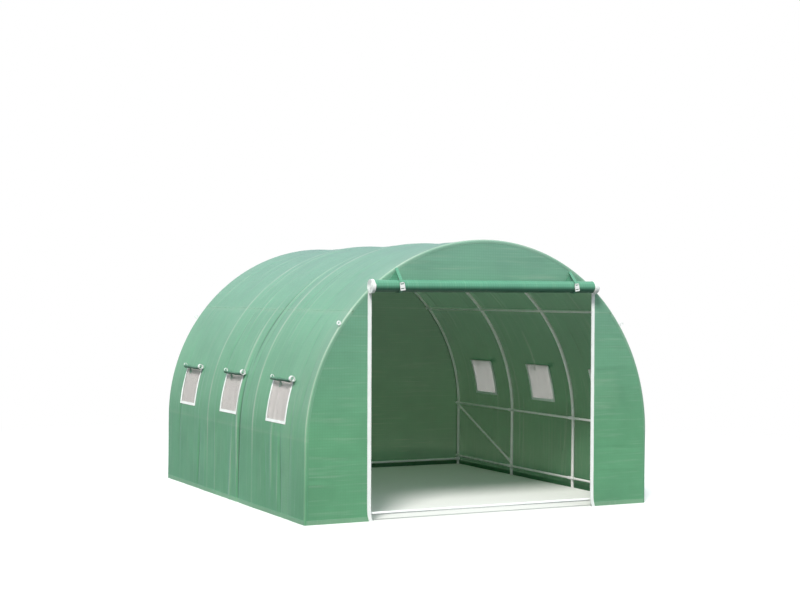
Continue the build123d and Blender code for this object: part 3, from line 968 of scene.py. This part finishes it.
# %% [markdown]
# Beside the doorway hang the two halves of the door's zips, each on a white tape that is sewn to the
# panel's edge. They lean a little to the left towards the top, and their loose feet curl to the right
# and forwards. One helper gives that line, so that the tape, its stitches and its teeth share it.

# %% Door zips
zip_gap = 0.0012
zip_curl = 0.014
zip_kick = 0.003
zip_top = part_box("right_door_zip")[1][2]
zip_foot = {-1: -zip_x - 0.002, 1: zip_x - 0.009}
zip_lean = {-1: 0.016, 1: 0.009}


def zip_middle(sign, z):
    """x of the middle of a zip at a height, without its curl."""
    return zip_foot[sign] - zip_lean[sign] * z / zip_top


def zip_line(sign, z, outwards=0.0, lift=0.0):
    """x, y and z along a zip, some way outwards from its middle and lifted off its back."""
    x = zip_middle(sign, z) + zip_curl * np.exp(-((z / 0.035) ** 1.5)) + sign * outwards
    return x, panel_y - zip_gap - lift - zip_kick * np.exp(-z / 0.05), z


for side, sign in signs.items():
    path = np.column_stack(zip_line(sign, spaced(0.0, zip_top, 0.02)[::-1]))
    tape = ribbon(path, (1, 0, 0), zip_width, steps=6, wave=0.0006, seed=51)
    add_cloth(f"{side}_door_zip_tape", tape, tape_paint, "white_tape", [f"{side}_door_zip"],
              thickness=webbing, offset=1.0, flat=(zip_width, zip_top), held="hung",
              rests_on=[f"front_{side}_sheet"])

# %% [markdown]
# The zip's other half runs up from each zip's top to the roll and is wound into its end. This lead is
# a ribbon that leaves the roll along a tangent.

# %% Tapes that lead from the roll's ends to the zips
lead_width = 0.024
lead_reach = end_radius + 0.002
leads = []
for sign in (-1, 1):
    along = sign * (roll_half - white_edge[sign] / 2)
    core = np.array([roll_centre.y, roll_centre.z + along * math.sin(roll_tilt)])
    target = np.array([panel_y - 0.005, zip_top - 0.012])
    toward = math.atan2(target[1] - core[1], target[0] - core[0])
    leave = toward - math.acos(min(1.0, lead_reach / math.hypot(*(target - core))))
    around = arc(core, lead_reach, -math.pi - 0.3, leave, 12)
    line = np.concatenate([around, np.linspace(around[-1], target, 7)[1:]])
    share = ease(0.0, 1.0, np.linspace(-1.0, 1.0, len(line)))
    xs = (roll_centre.x + along) * (1 - share) + zip_middle(sign, zip_top) * share
    leads.append(ribbon(np.column_stack([xs, line]), (1, 0, 0), lead_width, steps=4, wave=0.0006, seed=57))
lead_length = path_length(line)
add_cloth("zip_lead_tapes", joined(leads), tape_paint, "white_tape", [], thickness=webbing, offset=1.0,
          flat=(2 * lead_width, lead_length), held="hung", rests_on=["door_roll_zip_ends"])
print("leads", round(lead_length, 3), "m, zip top", round(zip_top, 3), "roll", np.round(core, 3))

# %% [markdown]
# Two straps come down from the gable, run round the roll and go up again behind it. Their path is
# worked out as a taut belt would lie: straight to the roll, and then round it.

# %% Door straps
strap_width = 0.025
strap_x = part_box("door_straps")[1][0] - strap_width / 2
strap_xs = [2 * roll_middle.x - strap_x, strap_x]
strap_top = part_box("door_straps")[1][2]
strap_reach = roll_radius + 0.0022


def roll_height(x):
    """Height of the roll's middle line at x."""
    return roll_centre.z + (x - roll_centre.x) * math.tan(roll_tilt)


def strap_line(x):
    """y and z of a strap's path, from the gable's seam round the roll and up behind it."""
    core = np.array([roll_centre.y, roll_height(x)])
    top = np.array([panel_y - 0.001, strap_top])
    rise, forward = top[1] - core[1], top[0] - core[0]
    first = math.atan2(rise, forward) + math.acos(strap_reach / math.hypot(rise, forward))
    around = arc(core, strap_reach, first, 2 * math.pi + 0.25, 30)
    return np.concatenate([np.linspace(top, around[0], 12)[:-1], around])


straps = []
for x in strap_xs:
    line = strap_line(x)
    path = np.column_stack([np.full(len(line), x), line])
    straps.append(ribbon(path, (1, 0, 0), strap_width, steps=4, wave=0.0008, seed=52))
strap_piece = add_piece("door_straps_sheet", joined(straps), dense_material, ["door_straps"])
thicken(strap_piece, webbing, offset=1.0)

# %% [markdown]
# A ladder buckle is a small frame with cross bars, and the strap is threaded over the middle one. It is
# built from rounded bars joined into one mesh, because its slots must really be open.

# %% Ladder buckles
buckle_half, buckle_long, buckle_deep = 0.0200, 0.0300, 0.0024
rail = 0.0065


def bar(low, high):
    """Rounded bar between two corners: x across the buckle, y out of its face and z along it."""
    shape = bmesh.new()
    bmesh.ops.create_cube(shape, size=1.0)
    size = Vector(high) - Vector(low)
    place = (Vector(high) + Vector(low)) / 2
    bmesh.ops.transform(shape, matrix=Matrix.LocRotScale(place, None, size), verts=shape.verts)
    bmesh.ops.bevel(shape, geom=shape.edges[:], offset=0.0012, segments=2, affect="EDGES")
    mesh = bpy.data.meshes.new("bar")
    shape.to_mesh(mesh)
    shape.free()
    return mesh


bars = [
    bar((-buckle_half, -buckle_deep, -buckle_long), (-buckle_half + rail, buckle_deep, buckle_long)),
    bar((buckle_half - rail, -buckle_deep, -buckle_long), (buckle_half, buckle_deep, buckle_long)),
    bar((-buckle_half, -buckle_deep, buckle_long - 0.008), (buckle_half, buckle_deep, buckle_long)),
    bar((-buckle_half, -buckle_deep - 0.0012, -0.0125), (buckle_half, buckle_deep - 0.0006, 0.0150)),
    bar((-buckle_half, -buckle_deep - 0.0020, -buckle_long), (buckle_half, buckle_deep, -0.0185)),
]
buckle_meshes = []
for x in strap_xs:
    one = joined(bars)
    front = roll_centre.y - strap_reach - 0.0016 - buckle_deep
    place = Matrix.Translation((x, front, roll_height(x) - 0.004))
    one.transform(place @ Matrix.Rotation(math.radians(-9), 4, "Y"))
    buckle_meshes.append(one)
add_piece("strap_ladder_buckles", joined(buckle_meshes), plastic_paint, ["strap_buckles"])

# %% [markdown]
# Each window is a net sewn behind its opening, a white tape on three edges and the flap, which is
# rolled up above it and tied. All of them are laid on the cover's own relief, so they follow its sag.

# %% Window nets
net_lap = 0.006
net_half = half_window + net_lap
net_lift = -0.0022
net_sag = 0.0035


def on_cover(s, y, lift, own=0.0):
    """Points on the cover at s and y, lifted off it. own adds a relief of the piece's own."""
    s, y = np.broadcast_arrays(np.asarray(s, float), np.asarray(y, float))
    x, z = section(s, wrap + lift + own + cover_relief(y, s))
    return np.stack([x, y, z], axis=-1)


for side, (low, high) in window_span.items():
    rows = rows_up(side, spaced(low - net_lap, high + net_lap, 0.013))
    nets = []
    for window_y in window_ys[side]:
        s, y = grid(rows, spaced(window_y - net_half, window_y + net_half, 0.013))
        inset = np.minimum.reduce([s - rows[0], rows[-1] - s, net_half - np.abs(y - window_y)])
        own = 0.0008 * soft_noise(s * 25, y * 25, 60) - net_sag * ease(0.0, 0.09, inset)
        nets.append(sheet_mesh(on_cover(s, y, net_lift, own), np.stack([y, s], axis=-1)))
    add_cloth(f"{side}_window_net_cloth", joined(nets), net_paint, "window_net", [f"{side}_window_nets"],
              thickness=0.0006, flat=(3 * 2 * net_half, float(rows[-1] - rows[0])), held="stretched",
              rests_on=[f"{side}_side_sheet"])

# %% Window tapes
tape_width = 0.022
tape_margin = 0.018
tape_in = tape_width - tape_margin
tape_lift, tape_thickness = 0.0014, 0.0010
tape_layers = (("tape_cloth", tape_lift, tape_thickness, 1.0), ("inner_tape", -0.0034, 0.0006, -1.0))


def window_tape(side, window_y, lift):
    """White tape on three edges of a window."""
    low, high = window_span[side]
    outer, inner = half_window + tape_margin, half_window - tape_in
    ys = through([-outer, -inner, inner, outer], 0.011) + window_y
    rows = rows_up(side, through([low - tape_margin, low + tape_in, high], 0.011))
    s, y = grid(rows, ys)
    across = np.abs(between(ys) - window_y) < inner
    opening = across[None, :] & (measured(side, between(rows)) > low + tape_in)[:, None]
    own = 0.0004 * soft_noise(s * 40, y * 40, 61)
    return sheet_mesh(on_cover(s, y, lift, own), np.stack([y, s], axis=-1), ~opening)


tape_length = window_width + 2 * tape_margin + 2 * (window_height - tape_in)
for side in signs:
    for name, lift, thickness, grows in tape_layers:
        tapes = [window_tape(side, window_y, lift) for window_y in window_ys[side]]
        replaced = [f"{side}_window_tapes"] if grows > 0 else []
        add_cloth(f"{side}_window_{name}", joined(tapes), tape_paint, "white_tape", replaced, thickness,
                  grows, flat=(tape_width, 3 * tape_length), held="stretched",
                  rests_on=[f"{side}_side_sheet"])

# %% [markdown]
# A flap is wound like the door, only smaller and looser, and the white tape of its two edges is wound
# up at its ends. In the photograph the near end is a loose ring, wider than the roll itself, so each
# ring has a tape width and two radii of its own: where its spiral starts and where it ends.

# %% Rolled window flaps
flap_overhang = 0.026
flap_radius = 0.0128
ring_rise = 0.011
near_ring = (0.027, (0.0240, 0.0135))
far_ring = (0.009, (0.0165, 0.0105))
flap_shift = {"left": -0.030, "right": 0.0}
flap_middle = middle("left_window_rolls")
flap_reach = math.hypot(flap_middle.x, flap_middle.z - leg_height)
flap_up = run_up(flap_middle.z) - 0.015
flap_angle = math.atan2(flap_middle.z - leg_height, -flap_middle.x) - 0.015
flap_angles = {side: flap_angle + up / sheet_radius for side, up in window_raised.items()}


def beside_arch(side, angle, y):
    """Place at an angle up a side's arch, as far out as the middle of a rolled flap."""
    return (signs[side] * flap_reach * math.cos(angle), y, leg_height + flap_reach * math.sin(angle))


def ways(side):
    """A side's flap's axis, and its way back to the cover."""
    sign, angle = signs[side], flap_angles[side]
    return np.array((0.0, float(sign), 0.0)), np.array((-sign * math.cos(angle), 0.0, -math.sin(angle)))


for side, sign in signs.items():
    axis, back = ways(side)
    half = half_window + flap_overhang
    flap_stations = spaced(*sorted([-sign * (half - 0.025), sign * (half - 0.007)]), 0.020)
    flaps, rings = [], []
    ring_area = 0.0
    for number, window_y in enumerate(window_ys[side]):
        flap_y = window_y + flap_shift[side]
        core = beside_arch(side, flap_angles[side], flap_y)
        # The flaps' shade paints shade all round them, most of all underneath.
        mesh, flap_length = wound(flap_stations, core, axis, back, (flap_radius, 0.005), turns=6,
                                  turn_points=14, uneven=0.0036, seed=70 + number, shade=(0.85, -2.0, 0.3))
        flaps.append(mesh)
        ring_core = beside_arch(side, flap_angles[side] + ring_rise, flap_y)
        for end in (-1, 1):
            edge, radii = near_ring if end * sign < 0 else far_ring
            stations = np.sort([end * half, end * (half - edge)])
            mesh, ring_length = wound(stations, ring_core, axis, back, radii, turns=2, turn_points=20,
                                      uneven=0.0020, seed=80 + number)
            rings.append(mesh)
            ring_area += edge * ring_length
    add_cloth(f"{side}_window_flaps", joined(flaps), dense_material, "green_sheet", [f"{side}_window_rolls"],
              thickness=0.0009, flat=(3 * (flap_stations[-1] - flap_stations[0]), flap_length), held="folded",
              rests_on=[f"{side}_side_sheet"])
    add_cloth(f"{side}_window_flap_ends", joined(rings), tape_paint, "white_tape", [], thickness=0.0018,
              flat=(ring_area / ring_length, ring_length), held="folded", rests_on=[f"{side}_window_flaps"])
print("flap sheet", round(flap_length, 3), "m long")

# %% [markdown]
# A narrow tie holds each flap: a loop round the roll, and two tails that hang down on the cover. The
# loop is a ribbon on a short helix, and the tails follow the cover's own relief.

# %% Ties of the window flaps
tie_width = 0.012
tie_at = (0.026, 0.062, 0.062)
tie_gap = 0.0026
helix_rise = 0.0007
tail_off = 0.004
tail_cuts = ((0.058, 0.007), (0.042, -0.011))
tail_share = np.linspace(0.0, 1.0, 9)
tie_angles = np.linspace(0.0, 2 * math.pi + 0.5, 26)[:, None]
for side, sign in signs.items():
    axis, back = ways(side)
    turned = np.cos(tie_angles) * back - np.sin(tie_angles) * np.cross(axis, back)
    loop = (flap_radius + tie_gap) * turned + helix_rise * tie_angles * axis
    ties = []
    tie_length = 0.0
    for number, window_y in enumerate(window_ys[side]):
        y = window_y + tie_at[number]
        core = np.array(beside_arch(side, flap_angles[side], y))
        ties.append(ribbon(core + loop, -axis, tie_width, steps=2, wave=0.0006, seed=90 + number))
        for drop, lean in tail_cuts:
            up = flap_up + window_raised[side] - flap_radius * 0.7 - drop * tail_share
            lift = tail_off + (flap_reach - arch_radius - wrap + tail_off) * (1 - tail_share) ** 2
            tail = on_cover(measured(side, up), y + lean * tail_share, lift)
            ties.append(ribbon(tail, (0, sign, 0), tie_width, steps=2, wave=0.0010, seed=95 + number))
            tie_length += drop
        tie_length += 2 * math.pi * flap_radius * 1.2
    add_cloth(f"{side}_window_ties", joined(ties), dense_material, "green_sheet", [], thickness=0.0009,
              offset=1.0, flat=(tie_width, tie_length), held="hung", rests_on=[f"{side}_window_flaps"])
print("ties", round(tie_length, 3), "m a side")

# %% [markdown]
# Where each strap leaves the gable, a dark three-cornered patch of the rolled sheet lies on it: painted
# shade, for the shade between the strap and the gable.

# %% Painted shade behind the straps
patch_width = 0.070
patch_drop = 0.090
patches = []
for x in strap_xs:
    down, over = grid(np.linspace(0.08, 1.0, 12), np.linspace(0.0, 1.0, 9))
    places = x + 0.010 - patch_width * down * (1 - over)
    heights = strap_top - 0.004 - patch_drop * down
    points = np.stack([places, np.full(places.shape, panel_y - 0.0036), heights], axis=-1)
    flat = np.stack([places + aside, heights], axis=-1)
    patches.append(sheet_mesh(points[::-1], flat[::-1], pressed=0.0))
add_cloth("strap_shade_patch_sheet", joined(patches), dense_material, "green_sheet", [], thickness=0.0010,
          offset=1.0, flat=(patch_width, patch_drop * 2), area=patch_width * patch_drop, held="stretched",
          rests_on=["front_gable_sheet"])
print("patches", patch_width, "by", patch_drop)

# %% [markdown]
# The foot of the cover is turned up and sewn into a hem. It is drawn as its own narrow strip, a
# sheet's thickness further out, so that its upper edge catches the light.

# %% Foot hem
hem_height = 0.034
hem_lift = cloth + 0.0003
hem_pale = 0.22
hem_rows = spaced(0.0, hem_height, 0.009)
foot_walls = [(-edge_reach, -panel_inner, panel_y, -1), (panel_inner, edge_reach, panel_y, -1),
              (-edge_reach, edge_reach, back_y, 1)]
hems = []
for side in signs:
    s, y = grid(rows_up(side, hem_rows), spaced(hoop_ys[0], hoop_ys[3], 0.020))
    hems.append(sheet_mesh(on_cover(s, y, hem_lift), np.stack([y + aside, s], axis=-1), pressed=hem_pale))
for low, high, y, outward in foot_walls:
    z, x = grid(hem_rows, spaced(low, high, 0.020))
    points = np.stack([x, np.full(x.shape, y + outward * hem_lift), z], axis=-1)
    flat = np.stack([x + aside, z], axis=-1)
    hems.append(sheet_mesh(points[:, ::outward], flat[:, ::outward], pressed=hem_pale))
hem_length = 2 * (hoop_ys[3] - hoop_ys[0]) + sum(high - low for low, high, _, _ in foot_walls)
add_cloth("foot_hem_sheet", joined(hems), cover_material, "green_sheet", [], cloth,
          flat=(hem_height, hem_length), held="stretched",
          rests_on=["left_side_sheet", "right_side_sheet", "back_sheet"])
print("hem", round(hem_length, 2), "m long")

# %% [markdown]
# A sewn cover has thousands of stitches, two zips with hundreds of teeth and a bolt at every crossing
# of the tubes. Placing them by hand would be hopeless, and a loop in Python would hide how they lie.
# Geometry Nodes do it well: one tree walks along a path, sets a small block at every step and turns
# it along the path and out of the surface. Its inputs give the step, the size and the unevenness.

# %% Paths with a way out
def path_mesh(paths):
    """Chains of edges that store the way out of the surface at each point."""
    mesh = bpy.data.meshes.new("paths")
    points = np.concatenate([place for place, _ in paths])
    outs = np.concatenate([way for _, way in paths])
    ends = np.cumsum([len(place) for place, _ in paths])
    starts = np.concatenate([[0], ends[:-1]])
    edges = [(i, i + 1) for start, end in zip(starts, ends) for i in range(start, end - 1)]
    mesh.from_pydata(points.tolist(), edges, [])
    store = mesh.attributes.new("out", "FLOAT_VECTOR", "POINT")
    store.data.foreach_set("vector", outs.ravel().astype(np.float32))
    return mesh


def cover_path(s, y, lift):
    """Path on the cover with its way out."""
    low, high = on_cover(s, y, lift), on_cover(s, y, lift + 0.001)
    return low, (high - low) / np.linalg.norm(high - low, axis=1, keepdims=True)


def flat_path(x, y, z, outward):
    """Path on a flat end wall with its way out, which is -1 in front and 1 behind."""
    points = np.column_stack(np.broadcast_arrays(x, y, z))
    return points, np.broadcast_to(np.array((0.0, outward, 0.0)), points.shape)


print("a path is a chain of points, each with its own way out")


# %% Tree for a row of blocks
def tree_with(name, numbers):
    """Node tree with named number inputs, a seed and a material, its inputs and its output node."""
    tree = bpy.data.node_groups.new(name, "GeometryNodeTree")
    kinds = {"Geometry": "Geometry", **dict.fromkeys(numbers, "Float"), "Seed": "Int", "Material": "Material"}
    for title, kind in kinds.items():
        socket = tree.interface.new_socket(title, in_out="INPUT", socket_type="NodeSocket" + kind)
        if title in numbers:
            socket.default_value = numbers[title]
    tree.interface.new_socket("Geometry", in_out="OUTPUT", socket_type="NodeSocketGeometry")
    return tree, add(tree, "NodeGroupInput").outputs, add(tree, "NodeGroupOutput")


def aligned(tree, vector, axis, pivot="AUTO", **start):
    """Rotation that turns one axis along a vector."""
    inputs = {"Vector": vector, **start}
    return add(tree, "FunctionNodeAlignRotationToVector", inputs, axis=axis, pivot_axis=pivot).outputs[0]


def facing_out(tree, pivot, start):
    """Rotation that turns Z along the way out that the path stores."""
    stored = add(tree, "GeometryNodeInputNamedAttribute", {"Name": "out"}, data_type="FLOAT_VECTOR")
    return aligned(tree, stored.outputs["Attribute"], "Z", pivot, Rotation=start)


def finished(tree, given, result, **instances):
    """Instances on points, made real and given their material."""
    spread = add(tree, "GeometryNodeInstanceOnPoints", instances).outputs["Instances"]
    real = add(tree, "GeometryNodeRealizeInstances", {"Geometry": spread}).outputs["Geometry"]
    inputs = {"Geometry": real, "Material": given["Material"]}
    feed(tree, result.inputs["Geometry"], add(tree, "GeometryNodeSetMaterial", inputs).outputs["Geometry"])


def row_tree():
    """Tree that sets a block at every step of a path."""
    sizes = {"Step": 0.008, "Length": 0.005, "Width": 0.001, "Height": 0.001, "Unevenness": 0.1}
    tree, given, result = tree_with("row_of_blocks", sizes)
    curve = add(tree, "GeometryNodeMeshToCurve", {"Mesh": given["Geometry"]}).outputs["Curve"]
    inputs = {"Curve": curve, "Length": given["Step"]}
    steps = add(tree, "GeometryNodeResampleCurve", inputs, mode="LENGTH").outputs["Curve"]
    inputs = {"X": given["Length"], "Y": given["Width"], "Z": given["Height"]}
    size = add(tree, "ShaderNodeCombineXYZ", inputs).outputs["Vector"]
    block = add(tree, "GeometryNodeMeshCube", {"Size": size}).outputs["Mesh"]
    along = aligned(tree, add(tree, "GeometryNodeInputTangent").outputs["Tangent"], "X")
    least, most = (maths(tree, way, 1.0, given["Unevenness"]) for way in ("SUBTRACT", "ADD"))
    inputs = {2: least, 3: most, "Seed": given["Seed"]}
    uneven = add(tree, "FunctionNodeRandomValue", inputs, data_type="FLOAT").outputs[1]
    turned = facing_out(tree, "X", along)
    finished(tree, given, result, Points=steps, Instance=block, Rotation=turned, Scale=uneven)
    return tree


def grown(name, paths, tree, values):
    """Piece that a tree grows from paths, as a plain mesh of its own."""
    holder = bpy.data.objects.new(name + "_path", path_mesh(paths))
    bpy.context.scene.collection.objects.link(holder)
    modifier = holder.modifiers.new("grow", "NODES")
    modifier.node_group = tree
    for socket in tree.interface.items_tree:
        if socket.in_out == "INPUT" and socket.name in values:
            modifier[socket.identifier] = values[socket.name]
    depsgraph = bpy.context.evaluated_depsgraph_get()
    mesh = bpy.data.meshes.new_from_object(holder.evaluated_get(depsgraph), depsgraph=depsgraph)
    holder.modifiers.clear()
    bpy.data.objects.remove(holder)
    add_piece(name, mesh, values["Material"])


row = row_tree()
print("tree", row.name, [item.name for item in row.interface.items_tree])

# %% [markdown]
# Thread is twisted, so it is darker and lighter in tiny patches. Green thread sews the cover, white
# thread the tapes.

# %% Thread
def thread_material(name, light, dark):
    """Twisted sewing thread."""
    paint, tree, surface, place = fresh(name)
    base = mixed(tree, noise(tree, place, 700.0, 2.0, 0.5), dark, light)
    finish(tree, surface, Base_Color=base, Roughness=0.7)
    return paint


green_thread = thread_material("green_thread", (0.20, 0.56, 0.36), (0.12, 0.40, 0.24))
white_thread = thread_material("white_thread", (0.90, 0.92, 0.90), (0.74, 0.77, 0.75))
print("threads", green_thread.name, white_thread.name)

# %% Stitches of the cover
lie = 0.0003
hem_line = hem_height - 0.004
main_run = spaced(hoop_ys[0], hoop_ys[3], 0.02)
seam_rows = []
for up, lift in ((seam_at + 0.004, cloth + 0.0001), (hem_line, hem_lift)):
    for side in signs:
        seam_rows.append(cover_path(np.full(len(main_run), measured(side, up)), main_run, lift + lie))
flange_x, flange_z = section(spaced(0.0, section_length, 0.02), -flange * 0.55)
for y, outward in ((hoop_ys[0] - wrap, -1), (hoop_ys[3] + wrap, 1)):
    seam_rows.append(flat_path(flange_x, y + outward * lie, flange_z, outward))
for low, high, y, outward in foot_walls:
    x = spaced(low + 0.02, high - 0.02, 0.02)
    seam_rows.append(flat_path(x, y + outward * (hem_lift + lie), hem_line, outward))
grown("cover_stitches", seam_rows, row, {
    "Step": 0.0085, "Length": 0.0055, "Width": 0.0011, "Height": 0.0009, "Unevenness": 0.12, "Seed": 3,
    "Material": green_thread})

# %% Stitches of the tapes
tape_line = 0.55 * tape_margin
tape_share = np.linspace(0.0, 1.0, 24)
stitch_z = spaced(0.02, zip_top - 0.01, 0.02)
tape_rows = []
for side, (low, high) in window_span.items():
    for window_y in window_ys[side]:
        half, foot = half_window + tape_line, low - tape_line
        corners = [(-half, high), (-half, foot), (half, foot), (half, high)]
        for (y_from, up_from), (y_to, up_to) in zip(corners[:-1], corners[1:]):
            up = up_from + (up_to - up_from) * tape_share
            y = window_y + y_from + (y_to - y_from) * tape_share
            tape_rows.append(cover_path(measured(side, up), y, tape_lift + tape_thickness + lie))
for sign in (-1, 1):
    for outwards in (0.36, -0.20):
        tape_rows.append(flat_path(*zip_line(sign, stitch_z, outwards * zip_width, webbing + lie), -1))
grown("tape_stitches", tape_rows, row, {
    "Step": 0.0070, "Length": 0.0045, "Width": 0.0009, "Height": 0.0008, "Unevenness": 0.12, "Seed": 5,
    "Material": white_thread})

# %% [markdown]
# A zip's teeth are the same row of blocks again, wider than they are long, on the doorway's side of
# each tape.

# %% Zip teeth
to_teeth = 0.001 - zip_width / 2
tooth_rows = [flat_path(*zip_line(sign, stitch_z, to_teeth, webbing / 2), -1) for sign in (-1, 1)]
grown("zip_teeth", tooth_rows, row, {
    "Step": 0.0032, "Length": 0.0018, "Width": 0.0052, "Height": 0.0030, "Unevenness": 0.02, "Seed": 7,
    "Material": plastic_paint})

# %% [markdown]
# The same idea with another tree sets the bolts: a washer, a hexagonal nut and the end of the bolt,
# on the inner face of every pressed tube end.

# %% Tree for the bolts
def bolt_tree():
    """Tree that sets a washer, a nut and a bolt end on each point."""
    sizes = {"Washer Radius": 0.007, "Nut Radius": 0.0058, "Bolt Radius": 0.003}
    tree, given, result = tree_with("bolts", sizes)
    bolt = add(tree, "GeometryNodeJoinGeometry")
    shapes = ((14, 0.0012, 0.0006), (6, 0.0050, 0.0037), (10, 0.0040, 0.0082))
    for title, (sides, depth, rise) in zip(sizes, shapes):
        inputs = {"Vertices": sides, "Depth": depth, "Radius": given[title]}
        part = add(tree, "GeometryNodeMeshCylinder", inputs).outputs["Mesh"]
        inputs = {"Geometry": part, "Translation": (0.0, 0.0, rise)}
        feed(tree, bolt.inputs["Geometry"], add(tree, "GeometryNodeTransform", inputs).outputs["Geometry"])
    inputs = {3: 2 * math.pi, "Seed": given["Seed"]}
    spin = add(tree, "FunctionNodeRandomValue", inputs, data_type="FLOAT").outputs[1]
    inputs = {"Axis": (0.0, 0.0, 1.0), "Angle": spin}
    start = add(tree, "FunctionNodeAxisAngleToRotation", inputs).outputs["Rotation"]
    finished(tree, given, result, Points=given["Geometry"], Instance=bolt.outputs["Geometry"],
             Rotation=facing_out(tree, "AUTO", start))
    return tree


bolts = bolt_tree()
print("tree", bolts.name, [item.name for item in bolts.interface.items_tree])

# %% Bolts of the frame
blade_half = 0.0025
brace_stack = 0.0073
brace_foot = 0.130
purlins = ["ridge_purlin", *(f"{side}_{level}_purlin" for level in ("upper", "lower") for side in signs)]
bolt_points = []


def set_bolt(place, inward, depth=blade_half):
    """One more bolt on a pressed tube end, whose middle is at a place."""
    bolt_points.append((np.array([tuple(Vector(place) + inward * depth)]), np.array([tuple(inward)])))


for node in purlins:
    at = middle(node)
    inward = Vector((-at.x, 0.0, leg_height - at.z)).normalized()
    for number, hoop_y in enumerate(hoop_ys):
        under_brace = "lower" in node and number == 3
        set_bolt((at.x, hoop_y, at.z), inward, blade_half + (brace_stack if under_brace else 0.0))
for side, sign in signs.items():
    at = middle(f"{side}_base_rail")
    inward = Vector((-sign, 0.0, 0.0))
    for y, z in [*((hoop_y, at.z) for hoop_y in hoop_ys), (hoop_ys[2], brace_foot)]:
        set_bolt((at.x, y, z), inward)
for node, into in (("front_base_rail", 1), ("back_base_rail", -1)):
    at = middle(node)
    for sign in (-1, 1):
        set_bolt((sign * arch_radius, at.y, at.z), Vector((0, into, 0)))
grown("frame_bolts", bolt_points, bolts, {
    "Washer Radius": 0.0070, "Nut Radius": 0.0058, "Bolt Radius": 0.0030, "Seed": 11,
    "Material": steel_paint})
print(len(bolt_points), "bolts")
